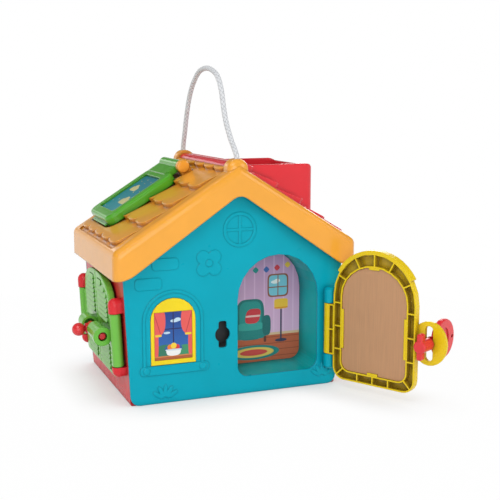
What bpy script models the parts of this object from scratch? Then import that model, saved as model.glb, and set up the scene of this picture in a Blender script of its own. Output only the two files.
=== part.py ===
"""Activity house for small children.

A gabled house with a front door and its key, a pair of louvred shutters with a slide bolt, a
skylight flap and a roof lid with a hopper, and a rope on the ridge to carry it by.

Lengths are in metres. X runs to the right of the front wall, Y to the back and Z up. The origin
is at the middle of the underside.
"""

import math

import bmesh
import bpy
from mathutils import Vector
from mathutils.kdtree import KDTree

# Gaps and general values
CLEARANCE = 0.0003
RUNNING_GAP = 0.0006
OVERRUN = 0.012
SINK = 0.0008
ARC_STEPS = 5
ROUND_SIDES = 24
RIM_PROFILE = 0.5
SMALL_SIDES = 12
EDGE_SEGMENTS = 2
SHARP_ANGLE = math.radians(32)

# Walls
HOUSE_WIDTH = 0.250
HOUSE_DEPTH = 0.186
RIDGE_HEIGHT = 0.251
ROOF_PITCH = math.radians(32)
EAVE_REACH = 0.012
FASCIA_DEPTH = 0.0289
ROOF_HALF_WIDTH = HOUSE_WIDTH / 2 + EAVE_REACH
EAVE_HEIGHT = RIDGE_HEIGHT - ROOF_HALF_WIDTH * math.tan(ROOF_PITCH) - FASCIA_DEPTH
HALF_WIDTH = HOUSE_WIDTH / 2
HALF_DEPTH = HOUSE_DEPTH / 2
WALL_TAPER_SHARE = 0.045
WALL = 0.003
WALL_EDGE = 0.001
WALL_CORNER_RADIUS = 0.010
SIDE_WALL_FOOT = 0.004
SIDE_WALL_RISE = 0.0275
SIDE_WALL_TOP = EAVE_HEIGHT + SIDE_WALL_RISE
RIM_DEPTH = 0.009
RIM_WALL = 0.0025
RIM_FOOT = 0.020
RIM_HEAD_GAP = 0.014
RIM_TOP = SIDE_WALL_TOP - RIM_HEAD_GAP

# Roof shell
ROOF_OVERHANG = 0.012
ROOF_HALF_LENGTH = HALF_DEPTH + ROOF_OVERHANG
ROOF_SHELL = 0.0035
EAVE_RADIUS = 0.009
FASCIA_EDGE = 0.0075
FASCIA_SEGMENTS = 3
FASCIA_FOOT_WIDTH = 0.0135
FASCIA_SPREAD = math.radians(2.5)
FASCIA_PITCH = ROOF_PITCH + FASCIA_SPREAD
FASCIA_APEX_HEIGHT = EAVE_HEIGHT + (ROOF_HALF_WIDTH - FASCIA_FOOT_WIDTH) * math.tan(FASCIA_PITCH)
FASCIA_APEX_RADIUS = 0.014
FASCIA_EAVE_RADIUS = 0.034

# Tile field, the same on both slopes; distances run down the slope from the ridge line
FIELD_BORDER = 0.022
FIELD_HALF_LENGTH = ROOF_HALF_LENGTH - FIELD_BORDER
FIELD_RECESS = 0.0016
FIELD_RADIUS = 0.004
FIELD_HEAD = 0.004
FIELD_FOOT_MARGIN = 0.0045
FIELD_FOOT = ROOF_HALF_WIDTH / math.cos(ROOF_PITCH) - FIELD_FOOT_MARGIN
TILE_GROOVE = 0.0012
TILE_ROWS = 5
TILE_COLUMNS = 5
FIRST_BUTT = 0.015
LAST_BUTT_GAP = 0.004
ROW_PITCH = (FIELD_FOOT - LAST_BUTT_GAP - FIRST_BUTT) / (TILE_ROWS - 1)
ROW_LAP = 0.008
SCALLOP_DEPTH = 0.006
TILE_BUTT = 0.0048
TILE_HEAD = 0.0006
TILE_EDGE = 0.0014

# Ridge hinge
RIDGE_AXIS_DROP = 0.0055
RIDGE_AXIS_HEIGHT = RIDGE_HEIGHT - RIDGE_AXIS_DROP
KNUCKLE_RADIUS = 0.012
KNUCKLE_INSET = 0.004
KNUCKLE_DOME = 0.006
BARREL_RADIUS = 0.0085
BARREL_GAP = 0.0012
PIN_RADIUS = 0.0016
PIN_BORE_RADIUS = 0.0020
RIDGE_PIN_MARGIN = 0.007
ROPE_SOCKET_DEPTH = 0.0062

# Roof lid and its hopper
LID_HEAD = 0.003
LID_FACE = 0.0024
LID_LEDGE = 0.005
LID_ROW_SHIFT = 0.011
LID_TILES = ((0.0018, 0.0060), (0.0018, 0.0066), (0.0018, 0.0056), (0.0010, 0.0024), (0.0005, 0.0010))
HOPPER_LEFT = 0.024
HOPPER_EAVE_GAP = 0.0303
HOPPER_RIGHT = ROOF_HALF_WIDTH - HOPPER_EAVE_GAP
HOPPER_HALF_DEPTH = 0.056
HOPPER_DROP = 0.0035
HOPPER_TOP = RIDGE_HEIGHT - HOPPER_DROP
HOPPER_WALL = 0.0028
HOPPER_CORNER_RADIUS = 0.008
HOPPER_LIP_RADIUS = 0.009

# Skylight flap on the left slope
FLAP_BACK_LAP = 0.001
FLAP_WIDTH = 0.090
FLAP_BACK = FIELD_HALF_LENGTH + FLAP_BACK_LAP
FLAP_FRONT = FLAP_BACK - FLAP_WIDTH
FLAP_MIDDLE = (FLAP_FRONT + FLAP_BACK) / 2
FLAP_HEAD = 0.044
FLAP_FOOT_GAP = 0.021
FLAP_FOOT = FIELD_FOOT - FLAP_FOOT_GAP
FLAP_RISE = 0.0006
FLAP_THICKNESS = 0.0112
FLAP_RADIUS = 0.011
FLAP_EDGE = 0.003
FLAP_BORDER = 0.013
FLAP_PANE_RADIUS = 0.004
FLAP_PANE_DEPTH = 0.0036
FLAP_FLOOR = 0.002
FLAP_WALL = 0.0028
FLAP_PAD_MARGIN = 0.0012
FLAP_PAD_DEPTH = 0.0003
FLAP_LIP = 0.003
FLAP_LIP_INSET = 0.013
FLAP_LIP_WIDTH = FLAP_WIDTH - 2 * FLAP_LIP_INSET
FLAP_LIP_HEIGHT = 0.0032
FLAP_AXIS_DOWN = 0.0285
FLAP_AXIS_RISE = 0.0090
FLAP_BARREL_RADIUS = 0.0067
FLAP_BARREL_FRONT_INSET = 0.016
FLAP_BARREL_FRONT = FLAP_FRONT + FLAP_BARREL_FRONT_INSET
FLAP_BARREL_BACK_INSET = 0.007
FLAP_BARREL_BACK = FLAP_BACK - FLAP_BARREL_BACK_INSET
FLAP_LUG_RADIUS = 0.0074
FLAP_LUG_WIDTH = 0.009
FLAP_BACK_LUG_RADIUS = 0.0042
FLAP_BACK_LUG_WIDTH = 0.0045
FLAP_NECK_REACH = 0.0215
FLAP_PIN_MARGIN = 0.002
SKYLIGHT_BORDER = 0.018
SKYLIGHT_RADIUS = 0.006

# Printed cards
CARD = 0.0008

# Alcove behind the front door
ALCOVE_LEFT = 0.0005
ALCOVE_SIDE_GAP = 0.0289
ALCOVE_RIGHT = HALF_WIDTH - ALCOVE_SIDE_GAP
ALCOVE_CENTRE = (ALCOVE_LEFT + ALCOVE_RIGHT) / 2
ALCOVE_HALF_WIDTH = (ALCOVE_RIGHT - ALCOVE_LEFT) / 2
ALCOVE_FOOT = 0.0194
ALCOVE_SPRING_DROP = 0.032
ALCOVE_SPRING = EAVE_HEIGHT - ALCOVE_SPRING_DROP
ALCOVE_DEPTH = 0.050
ALCOVE_WALL = 0.0014
ALCOVE_RADIUS = 0.012
ALCOVE_FLANGE = 0.005

# Front door
DOOR_AXIS_INSET = 0.017
DOOR_AXIS_X = HALF_WIDTH - DOOR_AXIS_INSET
DOOR_AXIS_OUT = 0.007
DOOR_OPEN = math.radians(119)
DOOR_LAP = 0.0035
DOOR_MIDDLE = DOOR_AXIS_X - ALCOVE_CENTRE
DOOR_HALF_WIDTH = ALCOVE_HALF_WIDTH + DOOR_LAP
DOOR_FOOT_LAP = 0.0072
DOOR_FOOT = ALCOVE_FOOT - DOOR_FOOT_LAP
DOOR_SPRING_RISE = 0.002
DOOR_SPRING = ALCOVE_SPRING + DOOR_SPRING_RISE
DOOR_RADIUS = 0.014
DOOR_THICKNESS = 0.0095
DOOR_GAP = 0.0013
DOOR_EDGE = 0.0022
DOOR_SKIN = 0.0022
DOOR_OUTER_WALL = 0.0018
DOOR_INNER_WALL = 0.0017
DOOR_RIB = 0.0016
DOOR_SIDE_RIB_SHARES = (0.3616, 0.6363, 0.9130)
DOOR_FOOT_RIB_SHARE = 0.38
DOOR_CROWN_RIBS = tuple(math.radians(angle) for angle in (27, 61, 90, 119, 153))
CROWN_STEP = 0.0027
CROWN_ANGLE = math.radians(28)
DOOR_FRAME = 0.0108
BOARD_HALF_WIDTH = DOOR_HALF_WIDTH - DOOR_FRAME
DOOR_FOOT_FRAME = 0.0110
BOARD_FOOT = DOOR_FOOT + DOOR_FOOT_FRAME
BOARD_CROWN_FALL = 0.0048
BOARD_CROWN_RISE = BOARD_HALF_WIDTH - BOARD_CROWN_FALL
BOARD_RADIUS = 0.010
BOARD_THICKNESS = 0.002
BOARD_SINK = 0.0015
CLIP_REACH = 0.0028
CLIP_THICKNESS = 0.0011
CLIP_WIDTH = 0.013
CLIP_HEIGHT_SHARE = 0.528
CLIP_MIDDLE_SHARE = 0.562
LEAF_FOOT_RISE = 0.0263
LEAF_FOOT = DOOR_FOOT + LEAF_FOOT_RISE
LEAF_HEAD_DROP = 0.011
LEAF_POCKET_START = 0.0036
LEAF_POCKET_DEPTH = 0.0045
LEAF_POCKET_WALL = 0.0016
LEAF_HEAD = DOOR_SPRING - LEAF_HEAD_DROP
DOOR_BARREL_RADIUS = 0.0066
BOSS_RADIUS = 0.0068
BOSS_LENGTH = 0.017
BOSS_EDGE = 0.0025
DOOR_PIN_MARGIN = 0.006

# Key, and the tab, keyhole and lock that fit it
KEY_ABOVE_LEAF = 0.002
KEY_BIT_LENGTH = 0.0280
KEY_BIT_WIDTH = 0.0062
KEY_BIT_END = 0.0210
KEY_BIT_THICKNESS = 0.0070
KEY_HUB_RADIUS = 0.0068
KEY_STEM_RADIUS = 0.0036
KEY_COLLAR_RADIUS = 0.0070
KEY_COLLAR_THICKNESS = 0.0022
KEY_BOW_REACH = 0.0255
KEY_BOW_RADIUS = 0.0212
KEY_BOW_THICKNESS = 0.0062
KEY_BOW_EDGE = 0.0016
KEY_BOW_HOLE_REACH = 0.0158
KEY_BOW_HOLE_RADIUS = 0.0020
KEY_BOW_RECESS_LENGTH = 0.0160
KEY_BOW_RECESS_WIDTH = 0.0240
KEY_BOW_RECESS_DEPTH = 0.0012
TAB_HALF_WIDTH = 0.0205
TAB_RIM = 0.0049
TAB_THICKNESS = 0.0040
TAB_SLOT_SIDE_PLAY = 0.0015
TAB_SLOT_END_PLAY = 0.0046
TAB_SLOT_WIDTH = KEY_BIT_WIDTH + 2 * TAB_SLOT_SIDE_PLAY
TAB_SLOT_LENGTH = KEY_BIT_LENGTH + 2 * TAB_SLOT_END_PLAY
TAB_HALF_HEIGHT = TAB_SLOT_LENGTH / 2 + TAB_RIM
KEYHOLE_SHIFT = 0.0007
KEYHOLE_END_PLAY = 0.0007
KEYHOLE_SIDE_PLAY = 0.0016
KEYHOLE_HUB_PLAY = 0.0018
KEYHOLE_CORNER_RADIUS = 0.0025
KEYHOLE_LENGTH = KEY_BIT_LENGTH + 2 * KEYHOLE_END_PLAY
KEYHOLE_LOBE_WIDTH = KEY_BIT_WIDTH + 2 * KEYHOLE_SIDE_PLAY
KEYHOLE_RADIUS = KEY_HUB_RADIUS + KEYHOLE_HUB_PLAY
LOCK_WALL = 0.0006
LOCK_FLANGE_GAP = 0.0002
LOCK_BACK_PLAY = 0.0017
LOCK_RADIUS = KEY_BIT_LENGTH / 2 + CLEARANCE + LOCK_WALL
LOCK_DEPTH = KEY_BIT_END - DOOR_AXIS_OUT - WALL - CLEARANCE + LOCK_BACK_PLAY + LOCK_WALL
KEY_REACH = DOOR_MIDDLE + ALCOVE_HALF_WIDTH + ALCOVE_WALL + CLEARANCE + LOCK_RADIUS
KEY_HEIGHT = (LEAF_FOOT + LEAF_HEAD) / 2 + KEY_ABOVE_LEAF
KEY_X = DOOR_AXIS_X - KEY_REACH
KEYHOLE_X = KEY_X - KEYHOLE_SHIFT

# Front window
WINDOW_SIDE_GAP = 0.0279
WINDOW_KEY_GAP = 0.0305
WINDOW_LEFT = -HALF_WIDTH + WINDOW_SIDE_GAP
WINDOW_RIGHT = KEYHOLE_X - WINDOW_KEY_GAP
WINDOW_X = (WINDOW_LEFT + WINDOW_RIGHT) / 2
WINDOW_HALF_WIDTH = (WINDOW_RIGHT - WINDOW_LEFT) / 2
WINDOW_FOOT = 0.0420
WINDOW_PEAK_DROP = 0.0228
WINDOW_HEAD_RISE = 0.0232
WINDOW_PEAK = EAVE_HEIGHT - WINDOW_PEAK_DROP
WINDOW_SPRING = WINDOW_PEAK - WINDOW_HEAD_RISE
WINDOW_DEPTH = 0.0018
WINDOW_PROUD = 0.0006
WINDOW_BORDER = 0.0040
WINDOW_BOTTOM_BORDER = 0.0052
WINDOW_HEAD_BORDER = 0.0147
WINDOW_PICTURE_PEAK = WINDOW_PEAK - WINDOW_HEAD_BORDER

# Relief on the front wall
RELIEF = 0.0009
BRICK_LENGTH = 0.029
BRICK_HEIGHT = 0.0125
BRICK_RADIUS = 0.004
LOWER_BRICK_INSET = 0.0265
LOWER_BRICK_DROP = 0.013
UPPER_BRICK_INSET = 0.045
UPPER_BRICK_RISE = 0.007
FLOWER_INSET = 0.093
FLOWER_X = FLOWER_INSET - HALF_WIDTH
FLOWER_RISE = 0.0115
FLOWER_HEIGHT = EAVE_HEIGHT + FLOWER_RISE
PETALS = 4
PETAL_RADIUS = 0.0075
PETAL_REACH = 0.0090
FLOWER_EYE_RADIUS = 0.0042
ROUND_WINDOW_X = 0.003
ROUND_WINDOW_DROP = 0.0394
ROUND_WINDOW_HEIGHT = FASCIA_APEX_HEIGHT - ROUND_WINDOW_DROP
ROUND_WINDOW_RADIUS = 0.0190
ROUND_WINDOW_RIM = 0.0035
ROUND_WINDOW_BAR = 0.0030
TRIM_MARGIN = 0.0085
TRIM_WIDTH = 0.0030
SILL_SHIFT = 0.0012
SILL_END = 0.0131
SILL_X = WINDOW_X + SILL_SHIFT
SILL_LENGTH = 2 * (WINDOW_HALF_WIDTH + SILL_END)
SILL_DROP = 0.0102
SILL_FOOT = WINDOW_FOOT - SILL_DROP
SILL_HEIGHT = 0.0105
SILL_RADIUS = 0.004
SILL_BOSS_RADIUS = 0.0040
SILL_BOSS_INSET = 0.007
SILL_BOSS_REACH = SILL_LENGTH / 2 - SILL_BOSS_INSET
SILL_BOSS_RELIEF = 0.0020
LEAF_LENGTH = 0.014
LEAF_SIDES = 12
LEAF_WIDTH = 0.0046
LEAF_ANGLES = tuple(math.radians(angle) for angle in (32, 60, 88, 117, 146))
LEFT_TUFT_INSET = 0.043
LEFT_TUFT_HEIGHT = 0.0045
RIGHT_TUFT_INSET = 0.023
RIGHT_TUFT_HEIGHT = 0.0090

# Left wall: doorway, shutters and bolt; heights run up the leaning wall
SHUTTER_AXIS_INSET = 0.016
SHUTTER_AXIS_Y = HALF_DEPTH - SHUTTER_AXIS_INSET
DOORWAY_INSET = 0.019
DOORWAY_HALF_WIDTH = SHUTTER_AXIS_Y - DOORWAY_INSET
DOORWAY_FOOT = 0.032
DOORWAY_PEAK_DROP = 0.0205
DOORWAY_HEAD_RISE = 0.030
DOORWAY_PEAK = EAVE_HEIGHT - DOORWAY_PEAK_DROP
DOORWAY_SPRING = DOORWAY_PEAK - DOORWAY_HEAD_RISE
DOORWAY_RADIUS = 0.006
SHUTTER_AXIS_OUT = 0.0072
SHUTTER_BARREL_RADIUS = 0.0060
SHUTTER_BACK = 0.0024
SHUTTER_FACE = 0.0092
SHUTTER_FOOT = 0.0265
SHUTTER_HEAD_INSET = 0.015
SHUTTER_HEAD_REACH = SHUTTER_AXIS_Y - SHUTTER_HEAD_INSET
SHUTTER_PEAK_DROP = 0.004
SHUTTER_HEAD_RISE = 0.0345
SHUTTER_PEAK = EAVE_HEIGHT - SHUTTER_PEAK_DROP
SHUTTER_SPRING = SHUTTER_PEAK - SHUTTER_HEAD_RISE
SHUTTER_BARREL_HEAD = SHUTTER_SPRING + RUNNING_GAP
SHUTTER_BARREL_SHARE = 0.785
SHUTTER_BARREL_FOOT = SHUTTER_BARREL_HEAD - SHUTTER_BARREL_SHARE * (SHUTTER_BARREL_HEAD - SHUTTER_FOOT)
SHUTTER_HEAD_FULLNESS = 2.5
SHUTTER_PARTING = 0.0004
SHUTTER_EDGE = 0.0012
SHUTTER_STILE = 0.0095
SHUTTER_RADIUS = 0.005
SHUTTER_LUG_GAP = 0.0015
LUG_RADIUS = 0.0070
LUG_HEAD_LENGTH = 0.0160
LUG_FOOT_LENGTH = 0.0115
LUG_DOME = 0.0075
SHUTTER_PIN_MARGIN = 0.006
LOUVRE_PITCH = 0.0052
LOUVRE_FIELD_MARGIN = 0.0012
LOUVRE_FIELD_DEPTH = 0.0018
LOUVRE_HEAD = 0.0002
LOUVRE_BUTT = 0.0017
LOUVRE_INSET = 0.011
LOUVRE_REACH = SHUTTER_HEAD_REACH - LOUVRE_INSET
BOLT_RISE = 0.00925
BOLT_HEIGHT = (SHUTTER_FOOT + SHUTTER_SPRING) / 2 + BOLT_RISE
BOLT_OUT = 0.0185
BOLT_RADIUS = 0.0042
BOLT_BORE_RADIUS = 0.0049
KEEPER_BORE_RADIUS = 0.0061
GUIDE_RADIUS = 0.0088
GUIDE_RING_RADIUS = 0.0100
GUIDE_RING_WIDTH = 0.008
GUIDE_START = -SHUTTER_HEAD_REACH
GUIDE_END = -0.024
GUIDE_ROOT_WIDTH = 0.012
KEEPER_START = 0.0026
KEEPER_LENGTH = 0.025
KEEPER_DOME = 0.005
KEEPER_DEPTH = 0.0185
BOLT_TAIL_INSET = 0.002
BOLT_TAIL = GUIDE_START + BOLT_TAIL_INSET
BOLT_TIP = -0.0012
BOLT_EDGE = 0.0010
BOLT_ARM_Y = -0.0165
BOLT_ARM_RADIUS = 0.0034
BOLT_COLLAR_RADIUS = 0.0058
BOLT_COLLAR_START = 0.0055
BOLT_COLLAR_LENGTH = 0.0035
BALL_REACH = 0.0165
BALL_RADIUS = 0.0073
LOUVRE_FOOT_RAIL = 0.0055
LOUVRE_GUIDE_GAP = 0.0027
LOUVRE_HEAD_RAIL = 0.0075
LOWER_LOUVRES_FOOT = SHUTTER_FOOT + LOUVRE_FOOT_RAIL
LOWER_LOUVRES = int((BOLT_HEIGHT - GUIDE_RADIUS - LOWER_LOUVRES_FOOT) / LOUVRE_PITCH)
UPPER_LOUVRES_FOOT = BOLT_HEIGHT + GUIDE_RADIUS + LOUVRE_GUIDE_GAP
UPPER_LOUVRES = int((SHUTTER_PEAK - LOUVRE_HEAD_RAIL - UPPER_LOUVRES_FOOT) / LOUVRE_PITCH)

# Base and its screws
BASE_THICKNESS = 0.0037
BASE_RADIUS = 0.003
POST_RADIUS = 0.0044
POST_LENGTH = 0.016
POST_SEAT = 0.0034
POST_INSET = 0.01236
SCREW_HEAD_RADIUS = 0.0024
SCREW_HEAD_HEIGHT = 0.0014
SCREW_SHANK_RADIUS = 0.0013
SCREW_LENGTH = 0.012
SCREW_SINK = 0.0020

# Rope in the plane of the ridge: distance to the back, and height
ROPE_RADIUS = 0.003
ROPE_SIDES_SETTING = 3
ROPE_STEP = 0.0075
ROPE_ROUTE = (
    (-0.0925, 0.2520),
    (-0.0925, 0.2590),
    (-0.0865, 0.2665),
    (-0.0754, 0.2765),
    (-0.0610, 0.2935),
    (-0.0518, 0.3130),
    (-0.0450, 0.3305),
    (-0.0310, 0.3455),
    (-0.0030, 0.3532),
    (0.0265, 0.3508),
    (0.0500, 0.3378),
    (0.0655, 0.3215),
    (0.0770, 0.3005),
    (0.0850, 0.2800),
    (0.0905, 0.2665),
    (0.0925, 0.2590),
    (0.0925, 0.2520),
)

# Places worked out from the sizes above
WALL_LEAN = math.atan(WALL_TAPER_SHARE)
FLOOR_HALF_WIDTH = HALF_WIDTH - EAVE_HEIGHT * WALL_TAPER_SHARE
POST_X = FLOOR_HALF_WIDTH - POST_INSET
DOOR_AXIS = Vector((DOOR_AXIS_X, -HALF_DEPTH - DOOR_AXIS_OUT, 0))
DOOR_INNER = -HALF_DEPTH - DOOR_GAP
DOOR_OUTER = DOOR_INNER - DOOR_THICKNESS
SHUTTER_REACH = SHUTTER_AXIS_Y - LUG_RADIUS - SHUTTER_LUG_GAP
LEFT = -1
RIGHT = 1

COLOURS = {
    "blue": ((0.0, 0.38, 0.55), 0.32),
    "dark_teal": ((0.0, 0.27, 0.26), 0.36),
    "orange": ((0.93, 0.44, 0.07), 0.30),
    "red": ((0.75, 0.04, 0.05), 0.28),
    "green": ((0.09, 0.40, 0.03), 0.32),
    "light_green": ((0.22, 0.52, 0.12), 0.36),
    "yellow": ((0.87, 0.62, 0.01), 0.30),
    "brown": ((0.51, 0.27, 0.14), 0.75),
    "lilac": ((0.48, 0.23, 0.37), 0.45),
    "teal": ((0.0, 0.22, 0.26), 0.45),
    "navy": ((0.01, 0.11, 0.37), 0.45),
    "rope": ((0.66, 0.66, 0.68), 0.85),
    "black": ((0.02, 0.02, 0.024), 0.5),
    "steel": ((0.60, 0.61, 0.62), 0.35),
}


def make_material(name):
    """Return the named plastic, card, cord or metal."""
    material = bpy.data.materials.get(name)
    if material:
        return material
    colour, roughness = COLOURS[name]
    material = bpy.data.materials.new(name)
    material.use_nodes = True
    shader = material.node_tree.nodes["Principled BSDF"]
    shader.inputs["Base Color"].default_value = (*colour, 1)
    shader.inputs["Roughness"].default_value = roughness
    shader.inputs["Metallic"].default_value = 1 if name == "steel" else 0
    return material


def front_frame(across, up, back):
    """A frame on the front: across is X, up is Z, back is Y."""
    return Vector((across, back, up))


def plan_frame(across, back, up):
    """A frame seen from above."""
    return Vector((across, back, up))


def slope_frame(side):
    """A frame on a roof slope: along the ridge, down the slope, out of the slope."""
    def place(along, down, out):
        level = down * math.cos(ROOF_PITCH) + out * math.sin(ROOF_PITCH)
        height = RIDGE_HEIGHT - down * math.sin(ROOF_PITCH) + out * math.cos(ROOF_PITCH)
        return Vector((side * level, along, height))
    return place


def side_frame(side):
    """A frame on a leaning side wall: to the back, up the wall, out of its outer face."""
    def place(back, up, out):
        level = FLOOR_HALF_WIDTH + up * math.sin(WALL_LEAN) + out * math.cos(WALL_LEAN)
        height = up * math.cos(WALL_LEAN) - out * math.sin(WALL_LEAN)
        return Vector((side * level, back, height))
    return place


def door_frame(along, up, back):
    """The closed door: distance from its hinge axis, height, and Y."""
    return Vector((DOOR_AXIS_X - along, back, up))


def arc(centre, radii, start, end, steps):
    """Points along a part of an ellipse, both ends included."""
    points = []
    for step in range(steps + 1):
        angle = start + (end - start) * step / steps
        points.append((centre[0] + radii[0] * math.cos(angle), centre[1] + radii[1] * math.sin(angle)))
    return points


def disc(x, y, radius, sides=ROUND_SIDES):
    """A circle's outline."""
    return arc((x, y), (radius, radius), 0, 2 * math.pi * (1 - 1 / sides), sides - 1)


def oval(x, y, half_width, half_height, sides=ROUND_SIDES):
    """An ellipse's outline."""
    return arc((x, y), (half_width, half_height), 0, 2 * math.pi * (1 - 1 / sides), sides - 1)


def fillet(corners, steps=ARC_STEPS):
    """Round the corners of an outline; each corner is (x, y, radius)."""
    outline = []
    for index, (x, y, radius) in enumerate(corners):
        if radius == 0:
            outline.append((x, y))
            continue
        corner = Vector((x, y))
        before = Vector(corners[index - 1][:2]) - corner
        after = Vector(corners[(index + 1) % len(corners)][:2]) - corner
        half = before.angle(after) / 2
        reach = min(radius / math.tan(half), before.length / 2, after.length / 2)
        size = reach * math.tan(half)
        middle = corner + (before.normalized() + after.normalized()).normalized() * size / math.sin(half)
        first = corner + before.normalized() * reach - middle
        last = corner + after.normalized() * reach - middle
        start = math.atan2(first.y, first.x)
        sweep = math.remainder(math.atan2(last.y, last.x) - start, 2 * math.pi)
        outline += arc(middle, (size, size), start, start + sweep, steps)
    return outline


def rectangle(left, right, low, high, radius=0, steps=ARC_STEPS):
    """A rectangle's outline with round corners."""
    corners = ((left, low, radius), (right, low, radius), (right, high, radius), (left, high, radius))
    return fillet(corners, steps)


def bar(x, y, length, width, angle):
    """A straight bar's outline about its middle, turned by an angle."""
    along = Vector((math.cos(angle), math.sin(angle))) * length / 2
    across = Vector((-math.sin(angle), math.cos(angle))) * width / 2
    middle = Vector((x, y))
    return [tuple(middle + a * along + b * across) for a, b in ((-1, -1), (1, -1), (1, 1), (-1, 1))]


def arch(middle, half_width, foot, spring, rise, radius, steps=12):
    """An arched outline: round bottom corners, straight sides and an elliptical head."""
    left, right = middle - half_width, middle + half_width
    outline = fillet(((left, spring, 0), (left, foot, radius), (right, foot, radius), (right, spring, 0)))
    outline += arc((middle, spring), (half_width, rise), 0, math.pi, steps)[1:-1]
    return outline


def close_mesh(name, points, faces, place):
    """Make an object of a closed mesh with its faces pointing out."""
    mesh = bpy.data.meshes.new(name)
    mesh.from_pydata([place(*point) for point in points], [], faces)
    work = bmesh.new()
    work.from_mesh(mesh)
    bmesh.ops.recalc_face_normals(work, faces=work.faces)
    work.to_mesh(mesh)
    work.free()
    item = bpy.data.objects.new(name, mesh)
    bpy.context.scene.collection.objects.link(item)
    return item


def solid(outline, low, high, place, low_edge=0, high_edge=0, segments=EDGE_SEGMENTS):
    """A prism on an outline, with rounded rims where an edge width is given.

    low and high are distances along the frame's third direction, or functions of the outline's point.
    """
    count = len(outline)
    bottom = low if callable(low) else lambda x, y: low
    top = high if callable(high) else lambda x, y: high
    points = [(x, y, bottom(x, y)) for x, y in outline] + [(x, y, top(x, y)) for x, y in outline]
    faces = [tuple(range(count)), tuple(range(count, 2 * count))]
    faces += [(i, (i + 1) % count, count + (i + 1) % count, count + i) for i in range(count)]
    item = close_mesh("solid", points, faces, place)
    for rim, width in ((faces[0], low_edge), (faces[1], high_edge)):
        if width:
            round_rim(item, [place(*points[index]) for index in rim], width, segments)
    return item


def round_rim(item, rim, width, segments):
    """Round the rim edges that join the given points."""
    work = bmesh.new()
    work.from_mesh(item.data)
    nearest = KDTree(len(work.verts))
    for index, vert in enumerate(work.verts):
        nearest.insert(vert.co, index)
    nearest.balance()
    work.verts.ensure_lookup_table()
    inside = {work.verts[nearest.find(point)[1]] for point in rim}
    edges = [edge for edge in work.edges if edge.verts[0] in inside and edge.verts[1] in inside]
    bmesh.ops.bevel(work, geom=edges, offset=width, segments=segments, profile=RIM_PROFILE,
                    affect="EDGES", clamp_overlap=True)
    bmesh.ops.recalc_face_normals(work, faces=work.faces)
    work.to_mesh(item.data)
    work.free()


def turned(profile, place, sides=ROUND_SIDES):
    """A turned solid: profile is (radius, distance along the frame's third direction)."""
    points = []
    rings = []
    for radius, along in profile:
        if radius == 0:
            rings.append([len(points)])
            points.append((0, 0, along))
            continue
        rings.append(list(range(len(points), len(points) + sides)))
        points += [(x, y, along) for x, y in disc(0, 0, radius, sides)]
    faces = []
    for lower, upper in zip(rings, rings[1:]):
        for i in range(sides):
            j = (i + 1) % sides
            corners = (lower[i % len(lower)], lower[j % len(lower)],
                       upper[j % len(upper)], upper[i % len(upper)])
            faces.append(tuple(dict.fromkeys(corners)))
    for ring in (rings[0], rings[-1]):
        if len(ring) > 1:
            faces.append(tuple(ring))
    return close_mesh("turned", points, faces, place)


def rod(radius, start, end, place, edge=0, sides=ROUND_SIDES):
    """A plain round bar, with both ends chamfered where an edge width is given."""
    if edge:
        profile = ((radius - edge, start), (radius, start + edge),
                   (radius, end - edge), (radius - edge, end))
    else:
        profile = ((radius, start), (radius, end))
    return turned(profile, place, sides)


def ridge_place(x, y, along):
    """About the ridge axis."""
    return Vector((x, along, RIDGE_AXIS_HEIGHT + y))


def flap_axis_place(x, y, along):
    """About the flap's hinge axis."""
    return slope_frame(LEFT)(along, FLAP_AXIS_DOWN + x, FLAP_AXIS_RISE + y)


def door_axis_place(x, y, along):
    """About the door's hinge axis."""
    return Vector((DOOR_AXIS.x + x, DOOR_AXIS.y + y, along))


def key_axis_place(x, y, along):
    """About the key's axis while the door is closed."""
    return Vector((KEY_X + x, along, KEY_HEIGHT + y))


def keyhole_place(x, y, along):
    """About the keyhole, which gives the swinging key room."""
    return Vector((KEYHOLE_X + x, along, KEY_HEIGHT + y))


def bow_place(out, up, across):
    """The key's bow, which stands out from the closed door."""
    return Vector((KEY_X + across, DOOR_OUTER - out, KEY_HEIGHT + up))


def shutter_axis_place(end):
    """About the hinge axis of the near (-1) or far (1) shutter."""
    def place(x, y, along):
        return side_frame(LEFT)(end * SHUTTER_AXIS_Y + x, along, SHUTTER_AXIS_OUT + y)
    return place


def bolt_place(x, y, along):
    """About the slide bolt's axis."""
    return side_frame(LEFT)(along, BOLT_HEIGHT + x, BOLT_OUT + y)


def bolt_arm_place(x, y, along):
    """About the arm of the slide bolt."""
    return side_frame(LEFT)(BOLT_ARM_Y + x, BOLT_HEIGHT + y, BOLT_OUT + along)


def combine(target, tools, operation):
    """Join the tools to the target, cut them from it, or keep what they share."""
    for tool in tools:
        modifier = target.modifiers.new(operation, "BOOLEAN")
        modifier.operation = operation
        modifier.solver = "EXACT"
        modifier.object = tool
        evaluated = target.evaluated_get(bpy.context.evaluated_depsgraph_get())
        mesh = bpy.data.meshes.new_from_object(evaluated)
        target.modifiers.clear()
        target.data = mesh
        bpy.data.objects.remove(tool, do_unlink=True)
    return target


def join(target, *tools):
    """Join the tools to the target."""
    return combine(target, tools, "UNION")


def cut(target, *tools):
    """Cut the tools from the target."""
    return combine(target, tools, "DIFFERENCE")


def share(target, *tools):
    """Keep what the target and the tools share."""
    return combine(target, tools, "INTERSECT")


def finish(item, name, colour, axis=None):
    """Name a piece, give it its material and shading, and put its origin on its axis."""
    item.name = name
    item.data.name = name
    item.data.materials.clear()
    item.data.materials.append(make_material(colour))
    item.data.shade_smooth()
    item.data.set_sharp_from_angle(angle=SHARP_ANGLE)
    if axis is not None:
        for vert in item.data.vertices:
            vert.co -= axis
        item.location = axis
    return item


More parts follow.
